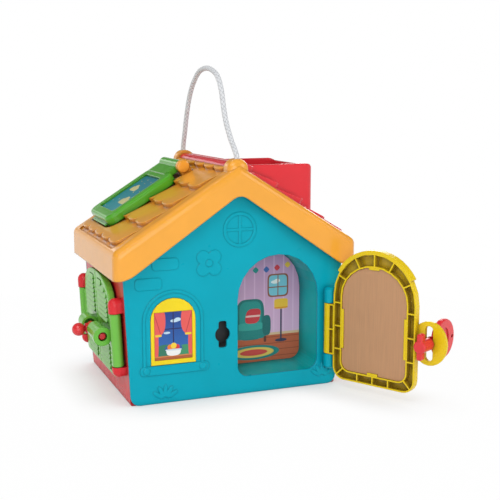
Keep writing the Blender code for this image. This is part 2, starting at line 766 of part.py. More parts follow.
def wall_outline():
    """The gabled wall's outline, which meets the underside of the roof shell."""
    peak = RIDGE_HEIGHT - (ROOF_SHELL + CLEARANCE) / math.cos(ROOF_PITCH)
    fall = math.tan(ROOF_PITCH)
    side_top = (peak - fall * FLOOR_HALF_WIDTH) / (1 + WALL_TAPER_SHARE * fall)
    half_top = FLOOR_HALF_WIDTH + side_top * WALL_TAPER_SHARE
    notch = RIDGE_AXIS_HEIGHT - KNUCKLE_RADIUS - CLEARANCE
    half_notch = (peak - notch) / fall
    return fillet((
        (-FLOOR_HALF_WIDTH, 0, WALL_CORNER_RADIUS), (FLOOR_HALF_WIDTH, 0, WALL_CORNER_RADIUS),
        (half_top, side_top, 0), (half_notch, notch, 0),
        (-half_notch, notch, 0), (-half_top, side_top, 0)))


def wall_plate(end):
    """A gabled wall plate with the rims and screw posts behind it; end is -1 for the front."""
    outer = end * HALF_DEPTH
    inner = outer - end * WALL
    plate = solid(wall_outline(), outer, inner, front_frame, low_edge=WALL_EDGE)
    for side in (LEFT, RIGHT):
        rim = rectangle(inner + end * SINK, inner - end * RIM_DEPTH, RIM_FOOT, RIM_TOP)
        outside = -WALL - CLEARANCE
        join(plate, solid(rim, outside - RIM_WALL, outside, side_frame(side)))
        post_y = inner - end * POST_SEAT
        foot = BASE_THICKNESS + CLEARANCE

        def post_place(x, y, along, side=side, post_y=post_y):
            return Vector((side * POST_X + x, post_y + y, along))

        join(plate, rod(POST_RADIUS, foot, foot + POST_LENGTH, post_place, sides=SMALL_SIDES))
        cut(plate, rod(SCREW_SHANK_RADIUS + CLEARANCE, -OVERRUN, SCREW_SINK + SCREW_LENGTH + RUNNING_GAP,
                       post_place, sides=SMALL_SIDES))
    return plate


def alcove_outline(grow=0):
    """The alcove's arched outline, larger by grow all round."""
    half_width = ALCOVE_HALF_WIDTH + grow
    return arch(ALCOVE_CENTRE, half_width, ALCOVE_FOOT - grow, ALCOVE_SPRING, half_width,
                ALCOVE_RADIUS + grow)


def relief_pad(wall, outline, height=RELIEF):
    """Raise a pad on the front wall."""
    join(wall, solid(outline, -HALF_DEPTH - height, -HALF_DEPTH + SINK, front_frame, low_edge=height / 2))


def add_window_relief(wall):
    """The arched trim round the front window and the sill below it."""
    margin = TRIM_MARGIN
    outer = arch(WINDOW_X, WINDOW_HALF_WIDTH + margin, SILL_FOOT + SINK, WINDOW_SPRING,
                 WINDOW_PEAK - WINDOW_SPRING + margin, 0)
    inside = margin - TRIM_WIDTH
    inner = arch(WINDOW_X, WINDOW_HALF_WIDTH + inside, SILL_FOOT - OVERRUN, WINDOW_SPRING,
                 WINDOW_PEAK - WINDOW_SPRING + inside, 0)
    trim = solid(outer, -HALF_DEPTH - RELIEF, -HALF_DEPTH + SINK, front_frame)
    cut(trim, solid(inner, -HALF_DEPTH - OVERRUN, -HALF_DEPTH + OVERRUN, front_frame))
    join(wall, trim)
    sill = rectangle(SILL_X - SILL_LENGTH / 2, SILL_X + SILL_LENGTH / 2, SILL_FOOT,
                     SILL_FOOT + SILL_HEIGHT - WINDOW_PROUD, SILL_RADIUS)
    join(wall, solid(sill, -HALF_DEPTH - SILL_BOSS_RELIEF / 2, -HALF_DEPTH + SINK, front_frame))
    for side in (LEFT, RIGHT):
        boss = disc(SILL_X + side * SILL_BOSS_REACH, SILL_FOOT + SILL_HEIGHT / 2, SILL_BOSS_RADIUS,
                    SMALL_SIDES)
        relief_pad(wall, boss, SILL_BOSS_RELIEF)


def add_gable_relief(wall):
    """The bricks, the flower, the round window and the leaf tufts."""
    bricks = ((LOWER_BRICK_INSET - HALF_WIDTH, EAVE_HEIGHT - LOWER_BRICK_DROP),
              (UPPER_BRICK_INSET - HALF_WIDTH, EAVE_HEIGHT + UPPER_BRICK_RISE))
    for x, height in bricks:
        relief_pad(wall, rectangle(x - BRICK_LENGTH / 2, x + BRICK_LENGTH / 2, height,
                                   height + BRICK_HEIGHT, BRICK_RADIUS, 3))
    for petal in range(PETALS):
        angle = 2 * math.pi * (petal + 1 / 2) / PETALS
        x = FLOWER_X + PETAL_REACH * math.cos(angle)
        height = FLOWER_HEIGHT + PETAL_REACH * math.sin(angle)
        relief_pad(wall, disc(x, height, PETAL_RADIUS, SMALL_SIDES))
    relief_pad(wall, disc(FLOWER_X, FLOWER_HEIGHT, FLOWER_EYE_RADIUS, SMALL_SIDES), SILL_BOSS_RELIEF)
    rim = solid(disc(ROUND_WINDOW_X, ROUND_WINDOW_HEIGHT, ROUND_WINDOW_RADIUS),
                -HALF_DEPTH - RELIEF, -HALF_DEPTH + SINK, front_frame, low_edge=RELIEF / 2)
    cut(rim, solid(disc(ROUND_WINDOW_X, ROUND_WINDOW_HEIGHT, ROUND_WINDOW_RADIUS - ROUND_WINDOW_RIM),
                   -HALF_DEPTH - OVERRUN, -HALF_DEPTH + OVERRUN, front_frame))
    join(wall, rim)
    for angle in (0, math.pi / 2):
        length = 2 * ROUND_WINDOW_RADIUS - ROUND_WINDOW_RIM
        cross_bar = bar(ROUND_WINDOW_X, ROUND_WINDOW_HEIGHT, length, ROUND_WINDOW_BAR, angle)
        join(wall, solid(cross_bar, -HALF_DEPTH - RELIEF + CLEARANCE, -HALF_DEPTH + SINK, front_frame))
    tufts = ((LEFT_TUFT_INSET - HALF_WIDTH, LEFT_TUFT_HEIGHT),
             (HALF_WIDTH - RIGHT_TUFT_INSET, RIGHT_TUFT_HEIGHT))
    for x, height in tufts:
        for angle in LEAF_ANGLES:
            middle = Vector((x, height)) + Vector((math.cos(angle), math.sin(angle))) * LEAF_LENGTH * 2 / 3
            leaf = []
            for u, v in oval(0, 0, LEAF_LENGTH / 2, LEAF_WIDTH / 2, LEAF_SIDES):
                leaf.append((middle.x + u * math.cos(angle) - v * math.sin(angle),
                             middle.y + u * math.sin(angle) + v * math.cos(angle)))
            relief_pad(wall, leaf)


def add_door_bosses(wall):
    """The two bosses on the front wall that hold the door's hinge pin."""
    spans = ((LEAF_FOOT - RUNNING_GAP - BOSS_LENGTH, LEAF_FOOT - RUNNING_GAP, -1),
             (LEAF_HEAD + RUNNING_GAP, LEAF_HEAD + RUNNING_GAP + BOSS_LENGTH, 1))
    for foot, head, end in spans:
        profile = [(BOSS_RADIUS, foot), (BOSS_RADIUS, head)]
        if end > 0:
            profile[1:] = [(BOSS_RADIUS, head - BOSS_EDGE), (BOSS_RADIUS - BOSS_EDGE, head)]
        else:
            profile[:1] = [(BOSS_RADIUS - BOSS_EDGE, foot), (BOSS_RADIUS, foot + BOSS_EDGE)]
        join(wall, turned(profile, door_axis_place))
        root = rectangle(DOOR_AXIS_X - BOSS_RADIUS + BOSS_EDGE, DOOR_AXIS_X + BOSS_RADIUS - BOSS_EDGE,
                         DOOR_AXIS.y, -HALF_DEPTH + SINK)
        join(wall, solid(root, foot + BOSS_EDGE, head - BOSS_EDGE, plan_frame))
    start = LEAF_FOOT - BOSS_LENGTH + DOOR_PIN_MARGIN - RUNNING_GAP
    end = LEAF_HEAD + BOSS_LENGTH - DOOR_PIN_MARGIN + RUNNING_GAP
    cut(wall, rod(PIN_BORE_RADIUS, start, end, door_axis_place, sides=SMALL_SIDES))


def make_front_wall():
    """The blue front wall with its openings, bosses and relief."""
    wall = wall_plate(-1)
    add_window_relief(wall)
    add_gable_relief(wall)
    add_door_bosses(wall)
    window = arch(WINDOW_X, WINDOW_HALF_WIDTH, WINDOW_FOOT, WINDOW_SPRING, WINDOW_PEAK - WINDOW_SPRING, 0)
    half_lobe = KEYHOLE_LOBE_WIDTH / 2
    slot = rectangle(KEYHOLE_X - half_lobe, KEYHOLE_X + half_lobe, KEY_HEIGHT - KEYHOLE_LENGTH / 2,
                     KEY_HEIGHT + KEYHOLE_LENGTH / 2, KEYHOLE_CORNER_RADIUS)
    back = -HALF_DEPTH + WALL + SINK
    cut(wall,
        solid(alcove_outline(), -HALF_DEPTH - OVERRUN, -HALF_DEPTH + OVERRUN, front_frame),
        solid(window, -HALF_DEPTH - OVERRUN, -HALF_DEPTH + WINDOW_DEPTH, front_frame),
        solid(slot, -HALF_DEPTH - OVERRUN, back, front_frame),
        rod(KEYHOLE_RADIUS, -HALF_DEPTH - OVERRUN, back, keyhole_place))
    finish(wall, "front_wall", "blue")


def make_alcove():
    """The moulded alcove behind the front wall, and the printed card on its back."""
    front = -HALF_DEPTH + WALL + CLEARANCE
    back = -HALF_DEPTH + ALCOVE_DEPTH
    liner = solid(alcove_outline(ALCOVE_WALL), front + ALCOVE_WALL / 2, back + ALCOVE_WALL, front_frame)
    join(liner, solid(alcove_outline(ALCOVE_FLANGE), front, front + ALCOVE_WALL, front_frame))
    cut(liner, solid(alcove_outline(), front - OVERRUN, back, front_frame),
        rod(LOCK_RADIUS + LOCK_FLANGE_GAP, front - OVERRUN, front + LOCK_DEPTH, key_axis_place))
    finish(liner, "alcove", "dark_teal")
    card = solid(alcove_outline(-CLEARANCE), back - CLEARANCE - CARD, back - CLEARANCE, front_frame)
    finish(card, "alcove_picture", "lilac")


def make_window():
    """The yellow arched window frame, set in the front wall, and its printed card."""
    grow = -CLEARANCE
    outline = arch(WINDOW_X, WINDOW_HALF_WIDTH + grow, WINDOW_FOOT - grow, WINDOW_SPRING,
                   WINDOW_PEAK - WINDOW_SPRING + grow, 0)
    front = -HALF_DEPTH - WINDOW_PROUD
    back = -HALF_DEPTH + WINDOW_DEPTH - CLEARANCE
    frame = solid(outline, front, back, front_frame, low_edge=WINDOW_PROUD / 2)
    left = WINDOW_X - WINDOW_HALF_WIDTH + WINDOW_BORDER
    right = WINDOW_X + WINDOW_HALF_WIDTH - WINDOW_BORDER
    foot = WINDOW_FOOT + WINDOW_BOTTOM_BORDER
    floor = front + WINDOW_PROUD + CARD
    cut(frame, solid(rectangle(left, right, foot, WINDOW_PICTURE_PEAK), front - OVERRUN, floor, front_frame))
    finish(frame, "window_frame", "yellow")
    gap = CLEARANCE
    card = rectangle(left + gap, right - gap, foot + gap, WINDOW_PICTURE_PEAK - gap)
    picture = solid(card, floor - gap - CARD, floor - gap, front_frame)
    finish(picture, "window_picture", "navy")


def make_lock_cover():
    """The black cover behind the keyhole, in which the key's bit turns."""
    front = -HALF_DEPTH + WALL + CLEARANCE
    cover = rod(LOCK_RADIUS, front, front + LOCK_DEPTH, key_axis_place)
    cut(cover, rod(LOCK_RADIUS - LOCK_WALL, front - OVERRUN, front + LOCK_DEPTH - LOCK_WALL, key_axis_place))
    finish(cover, "lock_cover", "black")


def make_side_wall(side, name):
    """A leaning side wall between the gabled walls."""
    half = HALF_DEPTH - WALL - CLEARANCE
    outline = rectangle(-half, half, SIDE_WALL_FOOT, SIDE_WALL_TOP)
    wall = solid(outline, -WALL, 0, side_frame(side))
    if side == LEFT:
        doorway = arch(0, DOORWAY_HALF_WIDTH, DOORWAY_FOOT, DOORWAY_SPRING,
                       DOORWAY_PEAK - DOORWAY_SPRING, DOORWAY_RADIUS)
        cut(wall, solid(doorway, -OVERRUN, OVERRUN, side_frame(side)))
        for end in (-1, 1):
            add_shutter_lugs(wall, end)
    finish(wall, name, "red")


def add_shutter_lugs(wall, end):
    """The domed lugs above and below one shutter's barrel."""
    place = shutter_axis_place(end)
    spans = ((SHUTTER_BARREL_HEAD + RUNNING_GAP, LUG_HEAD_LENGTH),
             (SHUTTER_BARREL_FOOT - RUNNING_GAP, -LUG_FOOT_LENGTH))
    for start, length in spans:
        rise = math.copysign(LUG_DOME, length)
        base = start + length - rise
        dome = arc((0, base), (LUG_RADIUS, rise), 0, math.pi / 2, 4)
        dome[-1] = (0, start + length)
        join(wall, turned([(LUG_RADIUS, start)] + dome, place, SMALL_SIDES + 4))
        half = LUG_RADIUS - CLEARANCE
        middle = end * SHUTTER_AXIS_Y
        step = math.copysign(CLEARANCE, rise)
        root = [(middle - half, start + step), (middle + half, start + step)]
        root += arc((middle, base), (half, rise - step), 0, math.pi, 8)
        join(wall, solid(root, -SINK, SHUTTER_AXIS_OUT, side_frame(LEFT)))
    cut(wall, rod(PIN_BORE_RADIUS, SHUTTER_BARREL_FOOT - SHUTTER_PIN_MARGIN - RUNNING_GAP,
                  SHUTTER_BARREL_HEAD + SHUTTER_PIN_MARGIN + RUNNING_GAP, place, sides=SMALL_SIDES))


def shutter_head(back):
    """Height of the shutters' arched head at a distance from their meeting line."""
    fall = (back / SHUTTER_HEAD_REACH) ** SHUTTER_HEAD_FULLNESS
    rise = SHUTTER_PEAK - SHUTTER_SPRING
    return SHUTTER_SPRING + rise * (1 - fall) ** (1 / SHUTTER_HEAD_FULLNESS)


def shutter_reach(up):
    """Distance from the meeting line at which the arched head has a given height."""
    rise = max(0, up - SHUTTER_SPRING) / (SHUTTER_PEAK - SHUTTER_SPRING)
    fall = max(0, 1 - rise ** SHUTTER_HEAD_FULLNESS)
    return SHUTTER_HEAD_REACH * fall ** (1 / SHUTTER_HEAD_FULLNESS)


def add_louvres(shutter, end, foot, count):
    """A sunk field of louvres with round ends, each slat standing out at its lower edge."""
    near = SHUTTER_PARTING + SHUTTER_STILE
    margin = LOUVRE_FIELD_MARGIN
    floor = SHUTTER_FACE - LOUVRE_FIELD_DEPTH
    field = [(near - margin, foot + count * LOUVRE_PITCH + margin), (near - margin, foot - margin)]
    slats = []
    for index in range(count):
        low = foot + index * LOUVRE_PITCH
        high = low + LOUVRE_PITCH + CLEARANCE
        far = min(LOUVRE_REACH, shutter_reach(high + SHUTTER_STILE / 2) - SHUTTER_STILE / 2)
        slats.append((low, high, far))
        field.append((far + margin, low - margin))
    field.append((far + margin, foot + count * LOUVRE_PITCH + margin))
    cut(shutter, solid([(end * back, up) for back, up in field], floor, OVERRUN, side_frame(LEFT)))
    for low, high, far in slats:
        slat = rectangle(min(end * near, end * far), max(end * near, end * far), low, high,
                         LOUVRE_PITCH / 2, 3)

        def face(back, up, low=low):
            return SHUTTER_FACE + LOUVRE_BUTT - (LOUVRE_BUTT - LOUVRE_HEAD) * (up - low) / LOUVRE_PITCH

        join(shutter, solid(slat, floor - SINK, face, side_frame(LEFT)))


def make_shutter(end, name):
    """One louvred shutter with its hinge barrel; end is -1 for the near one."""
    outline = [(SHUTTER_PARTING, SHUTTER_FOOT)]
    neck_foot, neck_head = SHUTTER_BARREL_FOOT + SINK, SHUTTER_BARREL_HEAD - SINK
    outline += fillet(((0, SHUTTER_FOOT, 0), (SHUTTER_REACH, SHUTTER_FOOT, SHUTTER_RADIUS),
                       (SHUTTER_REACH, neck_foot, 0)), 3)[1:]
    outline += [(SHUTTER_AXIS_Y, neck_foot), (SHUTTER_AXIS_Y, neck_head)]
    steps = 10
    for step in range(steps):
        back = SHUTTER_HEAD_REACH * math.cos(math.pi / 2 * step / steps)
        outline.append((back, shutter_head(back)))
    outline.append((SHUTTER_PARTING, SHUTTER_PEAK))
    outline = [(end * back, up) for back, up in outline]
    shutter = solid(outline, SHUTTER_BACK, SHUTTER_FACE, side_frame(LEFT), high_edge=SHUTTER_EDGE)
    join(shutter, rod(SHUTTER_BARREL_RADIUS, SHUTTER_BARREL_FOOT, SHUTTER_BARREL_HEAD,
                      shutter_axis_place(end)))
    add_louvres(shutter, end, LOWER_LOUVRES_FOOT, LOWER_LOUVRES)
    add_louvres(shutter, end, UPPER_LOUVRES_FOOT, UPPER_LOUVRES)
    if end < 0:
        add_bolt_guide(shutter)
    else:
        add_bolt_keeper(shutter)
    cut(shutter, rod(PIN_BORE_RADIUS, SHUTTER_BARREL_FOOT - OVERRUN, SHUTTER_BARREL_HEAD + OVERRUN,
                     shutter_axis_place(end), sides=SMALL_SIDES))
    finish(shutter, name, "light_green", shutter_axis_place(end)(0, 0, SHUTTER_BARREL_FOOT))


def guide_root(start, end):
    """The foot that carries a bolt tube on a shutter's face."""
    outline = rectangle(start, end, BOLT_HEIGHT - GUIDE_ROOT_WIDTH / 2, BOLT_HEIGHT + GUIDE_ROOT_WIDTH / 2)
    return solid(outline, SHUTTER_FACE - SINK, BOLT_OUT, side_frame(LEFT))


def add_bolt_guide(shutter):
    """The tube that the bolt slides in, with a ring at its near end."""
    ring_end = GUIDE_START + GUIDE_RING_WIDTH
    join(shutter, guide_root(GUIDE_START + SINK, GUIDE_END - SINK),
         turned(((GUIDE_RING_RADIUS, GUIDE_START), (GUIDE_RING_RADIUS, ring_end),
                 (GUIDE_RADIUS, ring_end + SINK), (GUIDE_RADIUS, GUIDE_END)), bolt_place))
    cut(shutter, rod(BOLT_BORE_RADIUS, GUIDE_START - OVERRUN, GUIDE_END + OVERRUN, bolt_place))


def add_bolt_keeper(shutter):
    """The domed keeper that the bolt's tip enters."""
    straight = KEEPER_START + KEEPER_LENGTH - KEEPER_DOME
    dome = arc((0, straight), (GUIDE_RADIUS, KEEPER_DOME), 0, math.pi / 2, 4)
    dome[-1] = (0, KEEPER_START + KEEPER_LENGTH)
    join(shutter, guide_root(KEEPER_START + SINK, straight),
         turned([(GUIDE_RADIUS, KEEPER_START)] + dome, bolt_place))
    cut(shutter, rod(KEEPER_BORE_RADIUS, KEEPER_START - OVERRUN, KEEPER_START + KEEPER_DEPTH, bolt_place))


def make_slide_bolt():
    """The red bolt with its collar, arm and ball."""
    bolt = rod(BOLT_RADIUS, BOLT_TAIL, BOLT_TIP, bolt_place, BOLT_EDGE)
    collar_end = BOLT_COLLAR_START + BOLT_COLLAR_LENGTH
    neck = math.asin(BOLT_ARM_RADIUS / BALL_RADIUS)
    ball = [(BALL_RADIUS * math.sin(angle), BALL_REACH - BALL_RADIUS * math.cos(angle))
            for angle in (neck + (math.pi - neck) * step / 9 for step in range(9))]
    profile = [(0, 0), (BOLT_ARM_RADIUS, 0), (BOLT_ARM_RADIUS, BOLT_COLLAR_START),
               (BOLT_COLLAR_RADIUS, BOLT_COLLAR_START), (BOLT_COLLAR_RADIUS, collar_end),
               (BOLT_ARM_RADIUS, collar_end + SINK)]
    profile += ball + [(0, BALL_REACH + BALL_RADIUS)]
    join(bolt, turned(profile, bolt_arm_place, SMALL_SIDES + 4))
    finish(bolt, "slide_bolt", "red", bolt_place(0, 0, BOLT_TIP))


def field_outline(shrink=0, head=FIELD_HEAD):
    """The tile field on a slope, smaller by shrink all round."""
    half = FIELD_HALF_LENGTH - shrink
    return rectangle(-half, half, head, FIELD_FOOT - shrink, FIELD_RADIUS - min(shrink, FIELD_RADIUS), 3)


def tile_row(side, index, base, head_rise, butt, shift=0):
    """One row of round-ended tiles, standing out at its lower edge."""
    half = FIELD_HALF_LENGTH - TILE_GROOVE
    width = 2 * half / TILE_COLUMNS
    foot = FIRST_BUTT + shift + index * ROW_PITCH
    foot = min(foot, FIELD_FOOT - TILE_GROOVE)
    head = max(foot - ROW_PITCH - ROW_LAP, FIELD_HEAD + TILE_GROOVE)
    outline = [(-half, head), (half, head)]
    steps = 6
    for column in range(TILE_COLUMNS):
        for step in range(steps + 1):
            turn = math.pi * step / steps
            x = half - width * (column + (1 - math.cos(turn)) / 2)
            y = foot - SCALLOP_DEPTH * (1 - math.sin(turn))
            if step or not column:
                outline.append((x, y))
    slant = butt / ROW_PITCH

    def face(along, down):
        return base + head_rise + slant * (down - foot + ROW_PITCH)

    return solid(outline, base - SINK, face, slope_frame(side), high_edge=min(TILE_EDGE, butt / 2))


def roof_outline():
    """The roof's outer outline across the ridge."""
    fall = math.tan(ROOF_PITCH)
    eave_top = RIDGE_HEIGHT - ROOF_HALF_WIDTH * fall
    foot = EAVE_HEIGHT - OVERRUN
    return fillet(((-ROOF_HALF_WIDTH, foot, 0), (ROOF_HALF_WIDTH, foot, 0),
                   (ROOF_HALF_WIDTH, eave_top, EAVE_RADIUS), (0, RIDGE_HEIGHT, 0),
                   (-ROOF_HALF_WIDTH, eave_top, EAVE_RADIUS)))


def roof_hollow_outline():
    """The space inside the roof shell."""
    fall = math.tan(ROOF_PITCH)
    peak = RIDGE_HEIGHT - ROOF_SHELL / math.cos(ROOF_PITCH)
    half = ROOF_HALF_WIDTH - ROOF_SHELL
    foot = EAVE_HEIGHT - 2 * OVERRUN
    return ((-half, foot), (half, foot), (half, peak - half * fall), (0, peak), (-half, peak - half * fall))


def fascia_opening_outline():
    """The opening inside the fascia boards, and all that lies below the eaves."""
    half = (FASCIA_APEX_HEIGHT - EAVE_HEIGHT) / math.tan(FASCIA_PITCH)
    wide = ROOF_HALF_WIDTH + OVERRUN
    foot = EAVE_HEIGHT - 2 * OVERRUN
    return fillet(((-wide, foot, 0), (wide, foot, 0), (wide, EAVE_HEIGHT, 0),
                   (half, EAVE_HEIGHT, FASCIA_EAVE_RADIUS), (0, FASCIA_APEX_HEIGHT, FASCIA_APEX_RADIUS),
                   (-half, EAVE_HEIGHT, FASCIA_EAVE_RADIUS), (-wide, EAVE_HEIGHT, 0)))


def flap_outline(grow=0):
    """The skylight flap's outline on its slope."""
    return rectangle(FLAP_FRONT - grow, FLAP_BACK + grow, FLAP_HEAD - grow, FLAP_FOOT + grow,
                     FLAP_RADIUS + grow)


def add_ridge_knuckles(roof):
    """The domed knuckles at both ends of the ridge, which hold the lid's pin and the rope's ends."""
    inner = FIELD_HALF_LENGTH + RUNNING_GAP
    outer = ROOF_HALF_LENGTH - KNUCKLE_INSET
    for end in (-1, 1):
        dome = arc((0, end * (outer - KNUCKLE_DOME)), (KNUCKLE_RADIUS, end * KNUCKLE_DOME),
                   0, math.pi / 2, 4)
        dome[-1] = (0, end * outer)
        join(roof, turned([(KNUCKLE_RADIUS, end * inner)] + dome, ridge_place))
        middle = end * (inner + outer) / 2

        def socket_place(x, y, along, middle=middle):
            return Vector((x, middle + y, along))

        top = RIDGE_AXIS_HEIGHT + KNUCKLE_RADIUS
        cut(roof, rod(ROPE_RADIUS + CLEARANCE, top - ROPE_SOCKET_DEPTH, top + OVERRUN, socket_place,
                      sides=SMALL_SIDES + 2))
    pin_half = outer - RIDGE_PIN_MARGIN + RUNNING_GAP
    cut(roof, rod(PIN_BORE_RADIUS, -pin_half, pin_half, ridge_place, sides=SMALL_SIDES))


def add_flap_lugs(roof):
    """The round lugs at both ends of the flap's barrel."""
    place = slope_frame(LEFT)
    front = FLAP_BARREL_FRONT - RUNNING_GAP
    back = FLAP_BARREL_BACK + RUNNING_GAP
    spans = ((front - FLAP_LUG_WIDTH, front, FLAP_LUG_RADIUS),
             (back, back + FLAP_BACK_LUG_WIDTH, FLAP_BACK_LUG_RADIUS))
    for start, end, radius in spans:
        half = radius - SINK
        block = rectangle(start + WALL_EDGE, end - WALL_EDGE, FLAP_AXIS_DOWN - half, FLAP_AXIS_DOWN + half)
        join(roof, rod(radius, start, end, flap_axis_place, WALL_EDGE),
             solid(block, -FIELD_RECESS - SINK, FLAP_AXIS_RISE, place))
    cut(roof, rod(PIN_BORE_RADIUS, front - FLAP_LUG_WIDTH + FLAP_PIN_MARGIN - RUNNING_GAP,
                  back + FLAP_BACK_LUG_WIDTH - FLAP_PIN_MARGIN + RUNNING_GAP, flap_axis_place,
                  sides=SMALL_SIDES))


def make_roof():
    """The orange roof shell: fascias, tile rows, knuckles, lugs and its two openings."""
    roof = solid(roof_outline(), -ROOF_HALF_LENGTH, ROOF_HALF_LENGTH, front_frame,
                 FASCIA_EDGE, FASCIA_EDGE, FASCIA_SEGMENTS)
    half = ROOF_HALF_LENGTH - ROOF_SHELL
    cut(roof, solid(roof_hollow_outline(), -half, half, front_frame))
    for side in (LEFT, RIGHT):
        cut(roof, solid(field_outline(), -FIELD_RECESS, OVERRUN, slope_frame(side)))
    for index in range(TILE_ROWS):
        join(roof, tile_row(LEFT, index, -FIELD_RECESS, TILE_HEAD, TILE_BUTT))
    margin = FLAP_PAD_MARGIN
    pad = rectangle(FLAP_FRONT - margin, FLAP_BACK + margin, FLAP_HEAD - margin,
                    FLAP_FOOT + FLAP_LIP + margin, FLAP_RADIUS + margin)
    cut(roof, solid(pad, -FIELD_RECESS - FLAP_PAD_DEPTH, OVERRUN, slope_frame(LEFT)))
    neck = rectangle(FLAP_BARREL_FRONT - FLAP_LUG_WIDTH - 2 * RUNNING_GAP, FLAP_BACK, FLAP_AXIS_DOWN
                     - FLAP_BARREL_RADIUS - BARREL_GAP, FLAP_HEAD + FLAP_RADIUS)
    cut(roof, solid(neck, -FIELD_RECESS - FLAP_PAD_DEPTH / 2, OVERRUN, slope_frame(LEFT)))
    skylight = rectangle(FLAP_FRONT + SKYLIGHT_BORDER, FLAP_BACK - SKYLIGHT_BORDER,
                         FLAP_HEAD + SKYLIGHT_BORDER, FLAP_FOOT - SKYLIGHT_BORDER, SKYLIGHT_RADIUS)
    cut(roof, solid(skylight, -OVERRUN, OVERRUN, slope_frame(LEFT)),
        solid(field_outline(LID_LEDGE, head=0), -OVERRUN, OVERRUN, slope_frame(RIGHT)))
    gutter = FIELD_HALF_LENGTH + BARREL_GAP
    cut(roof, rod(BARREL_RADIUS + BARREL_GAP, -gutter, gutter, ridge_place))
    cut(roof, solid(fascia_opening_outline(), -ROOF_HALF_LENGTH - OVERRUN, ROOF_HALF_LENGTH + OVERRUN,
                    front_frame))
    add_flap_lugs(roof)
    add_ridge_knuckles(roof)
    finish(roof, "roof_shell", "orange")


def hopper_outline(inset, top):
    """The hopper seen from the front; its foot follows the slope."""
    left, right = HOPPER_LEFT + inset, HOPPER_RIGHT - inset
    fall = math.tan(ROOF_PITCH)
    return fillet(((left, RIDGE_HEIGHT - left * fall, 0), (right, RIDGE_HEIGHT - right * fall, 0),
                   (right, top, HOPPER_LIP_RADIUS), (left, top, 0)))


def make_roof_lid():
    """The red lid: right slope with tile rows, hopper and ridge barrel."""
    place = slope_frame(RIGHT)
    half = FIELD_HALF_LENGTH - RUNNING_GAP
    slab = rectangle(-half, half, LID_HEAD, FIELD_FOOT - RUNNING_GAP, FIELD_RADIUS - RUNNING_GAP, 3)
    lid = solid(slab, -FIELD_RECESS + CLEARANCE, LID_FACE, place, high_edge=WALL_EDGE)
    for index, (head_rise, butt) in enumerate(LID_TILES):
        join(lid, tile_row(RIGHT, index, LID_FACE, head_rise, butt, LID_ROW_SHIFT))
    depth = HOPPER_HALF_DEPTH
    hopper = solid(hopper_outline(0, HOPPER_TOP), -depth, depth, front_frame)
    plan = rectangle(HOPPER_LEFT, HOPPER_RIGHT, -depth, depth, HOPPER_CORNER_RADIUS)
    low = RIDGE_HEIGHT - ROOF_HALF_WIDTH * math.tan(ROOF_PITCH)
    share(hopper, solid(plan, low, HOPPER_TOP + OVERRUN, plan_frame))
    barrel_end = FIELD_HALF_LENGTH
    join(lid, hopper, rod(BARREL_RADIUS, -barrel_end, barrel_end, ridge_place))
    wall = HOPPER_WALL
    bore = rectangle(HOPPER_LEFT + wall, HOPPER_RIGHT - wall, wall - depth, depth - wall,
                     HOPPER_CORNER_RADIUS - wall)
    cut(lid, solid(bore, low - OVERRUN, HOPPER_TOP + OVERRUN, plan_frame),
        rod(PIN_BORE_RADIUS, -barrel_end - OVERRUN, barrel_end + OVERRUN, ridge_place, sides=SMALL_SIDES))
    finish(lid, "roof_lid", "red", ridge_place(0, 0, 0))


def make_skylight_flap():
    """The green flap with its barrel and grip, and the printed card in its pane."""
    place = slope_frame(LEFT)
    top = FLAP_RISE + FLAP_THICKNESS
    flap = solid(flap_outline(), FLAP_RISE, top, place, high_edge=FLAP_EDGE)
    lip = rectangle(FLAP_MIDDLE - FLAP_LIP_WIDTH / 2, FLAP_MIDDLE + FLAP_LIP_WIDTH / 2,
                    FLAP_FOOT - SINK, FLAP_FOOT + FLAP_LIP, FLAP_LIP / 2)
    neck = rectangle(FLAP_BARREL_FRONT, FLAP_BARREL_BACK, FLAP_AXIS_DOWN, FLAP_AXIS_DOWN + FLAP_NECK_REACH)
    neck_low = FLAP_AXIS_RISE - FLAP_BARREL_RADIUS / 2
    join(flap, solid(lip, FLAP_RISE + SINK, FLAP_RISE + FLAP_LIP_HEIGHT, place, high_edge=WALL_EDGE),
         solid(neck, neck_low, FLAP_AXIS_RISE + FLAP_BARREL_RADIUS / 2, place),
         rod(FLAP_BARREL_RADIUS, FLAP_BARREL_FRONT, FLAP_BARREL_BACK, flap_axis_place, WALL_EDGE))
    border = FLAP_BORDER
    pane = rectangle(FLAP_FRONT + border, FLAP_BACK - border, FLAP_HEAD + border, FLAP_FOOT - border,
                     FLAP_PANE_RADIUS)
    floor = top - FLAP_PANE_DEPTH
    hollow = flap_outline(-FLAP_WALL)
    cut(flap, solid(pane, floor, top + OVERRUN, place),
        solid(hollow, -OVERRUN, floor - FLAP_FLOOR, place),
        rod(PIN_BORE_RADIUS, FLAP_BARREL_FRONT - OVERRUN, FLAP_BARREL_BACK + OVERRUN, flap_axis_place,
            sides=SMALL_SIDES))
    axis = flap_axis_place(0, 0, FLAP_MIDDLE)
    finish(flap, "skylight_flap", "green", axis)
    gap = border + CLEARANCE
    card = rectangle(FLAP_FRONT + gap, FLAP_BACK - gap, FLAP_HEAD + gap, FLAP_FOOT - gap, FLAP_PANE_RADIUS)
    picture = solid(card, floor + CLEARANCE, floor + CLEARANCE + CARD, place)
    finish(picture, "skylight_picture", "teal", axis)


def door_outline(shrink=0):
    """The door's arched outline in its closed frame, smaller by shrink all round."""
    half = DOOR_HALF_WIDTH - shrink
    return arch(DOOR_MIDDLE, half, DOOR_FOOT + shrink, DOOR_SPRING, half, DOOR_RADIUS - shrink)


def board_outline(grow=0):
    """The board's outline, larger by grow all round."""
    return arch(DOOR_MIDDLE, BOARD_HALF_WIDTH + grow, BOARD_FOOT - grow, DOOR_SPRING,
                BOARD_CROWN_RISE + grow, BOARD_RADIUS + grow)


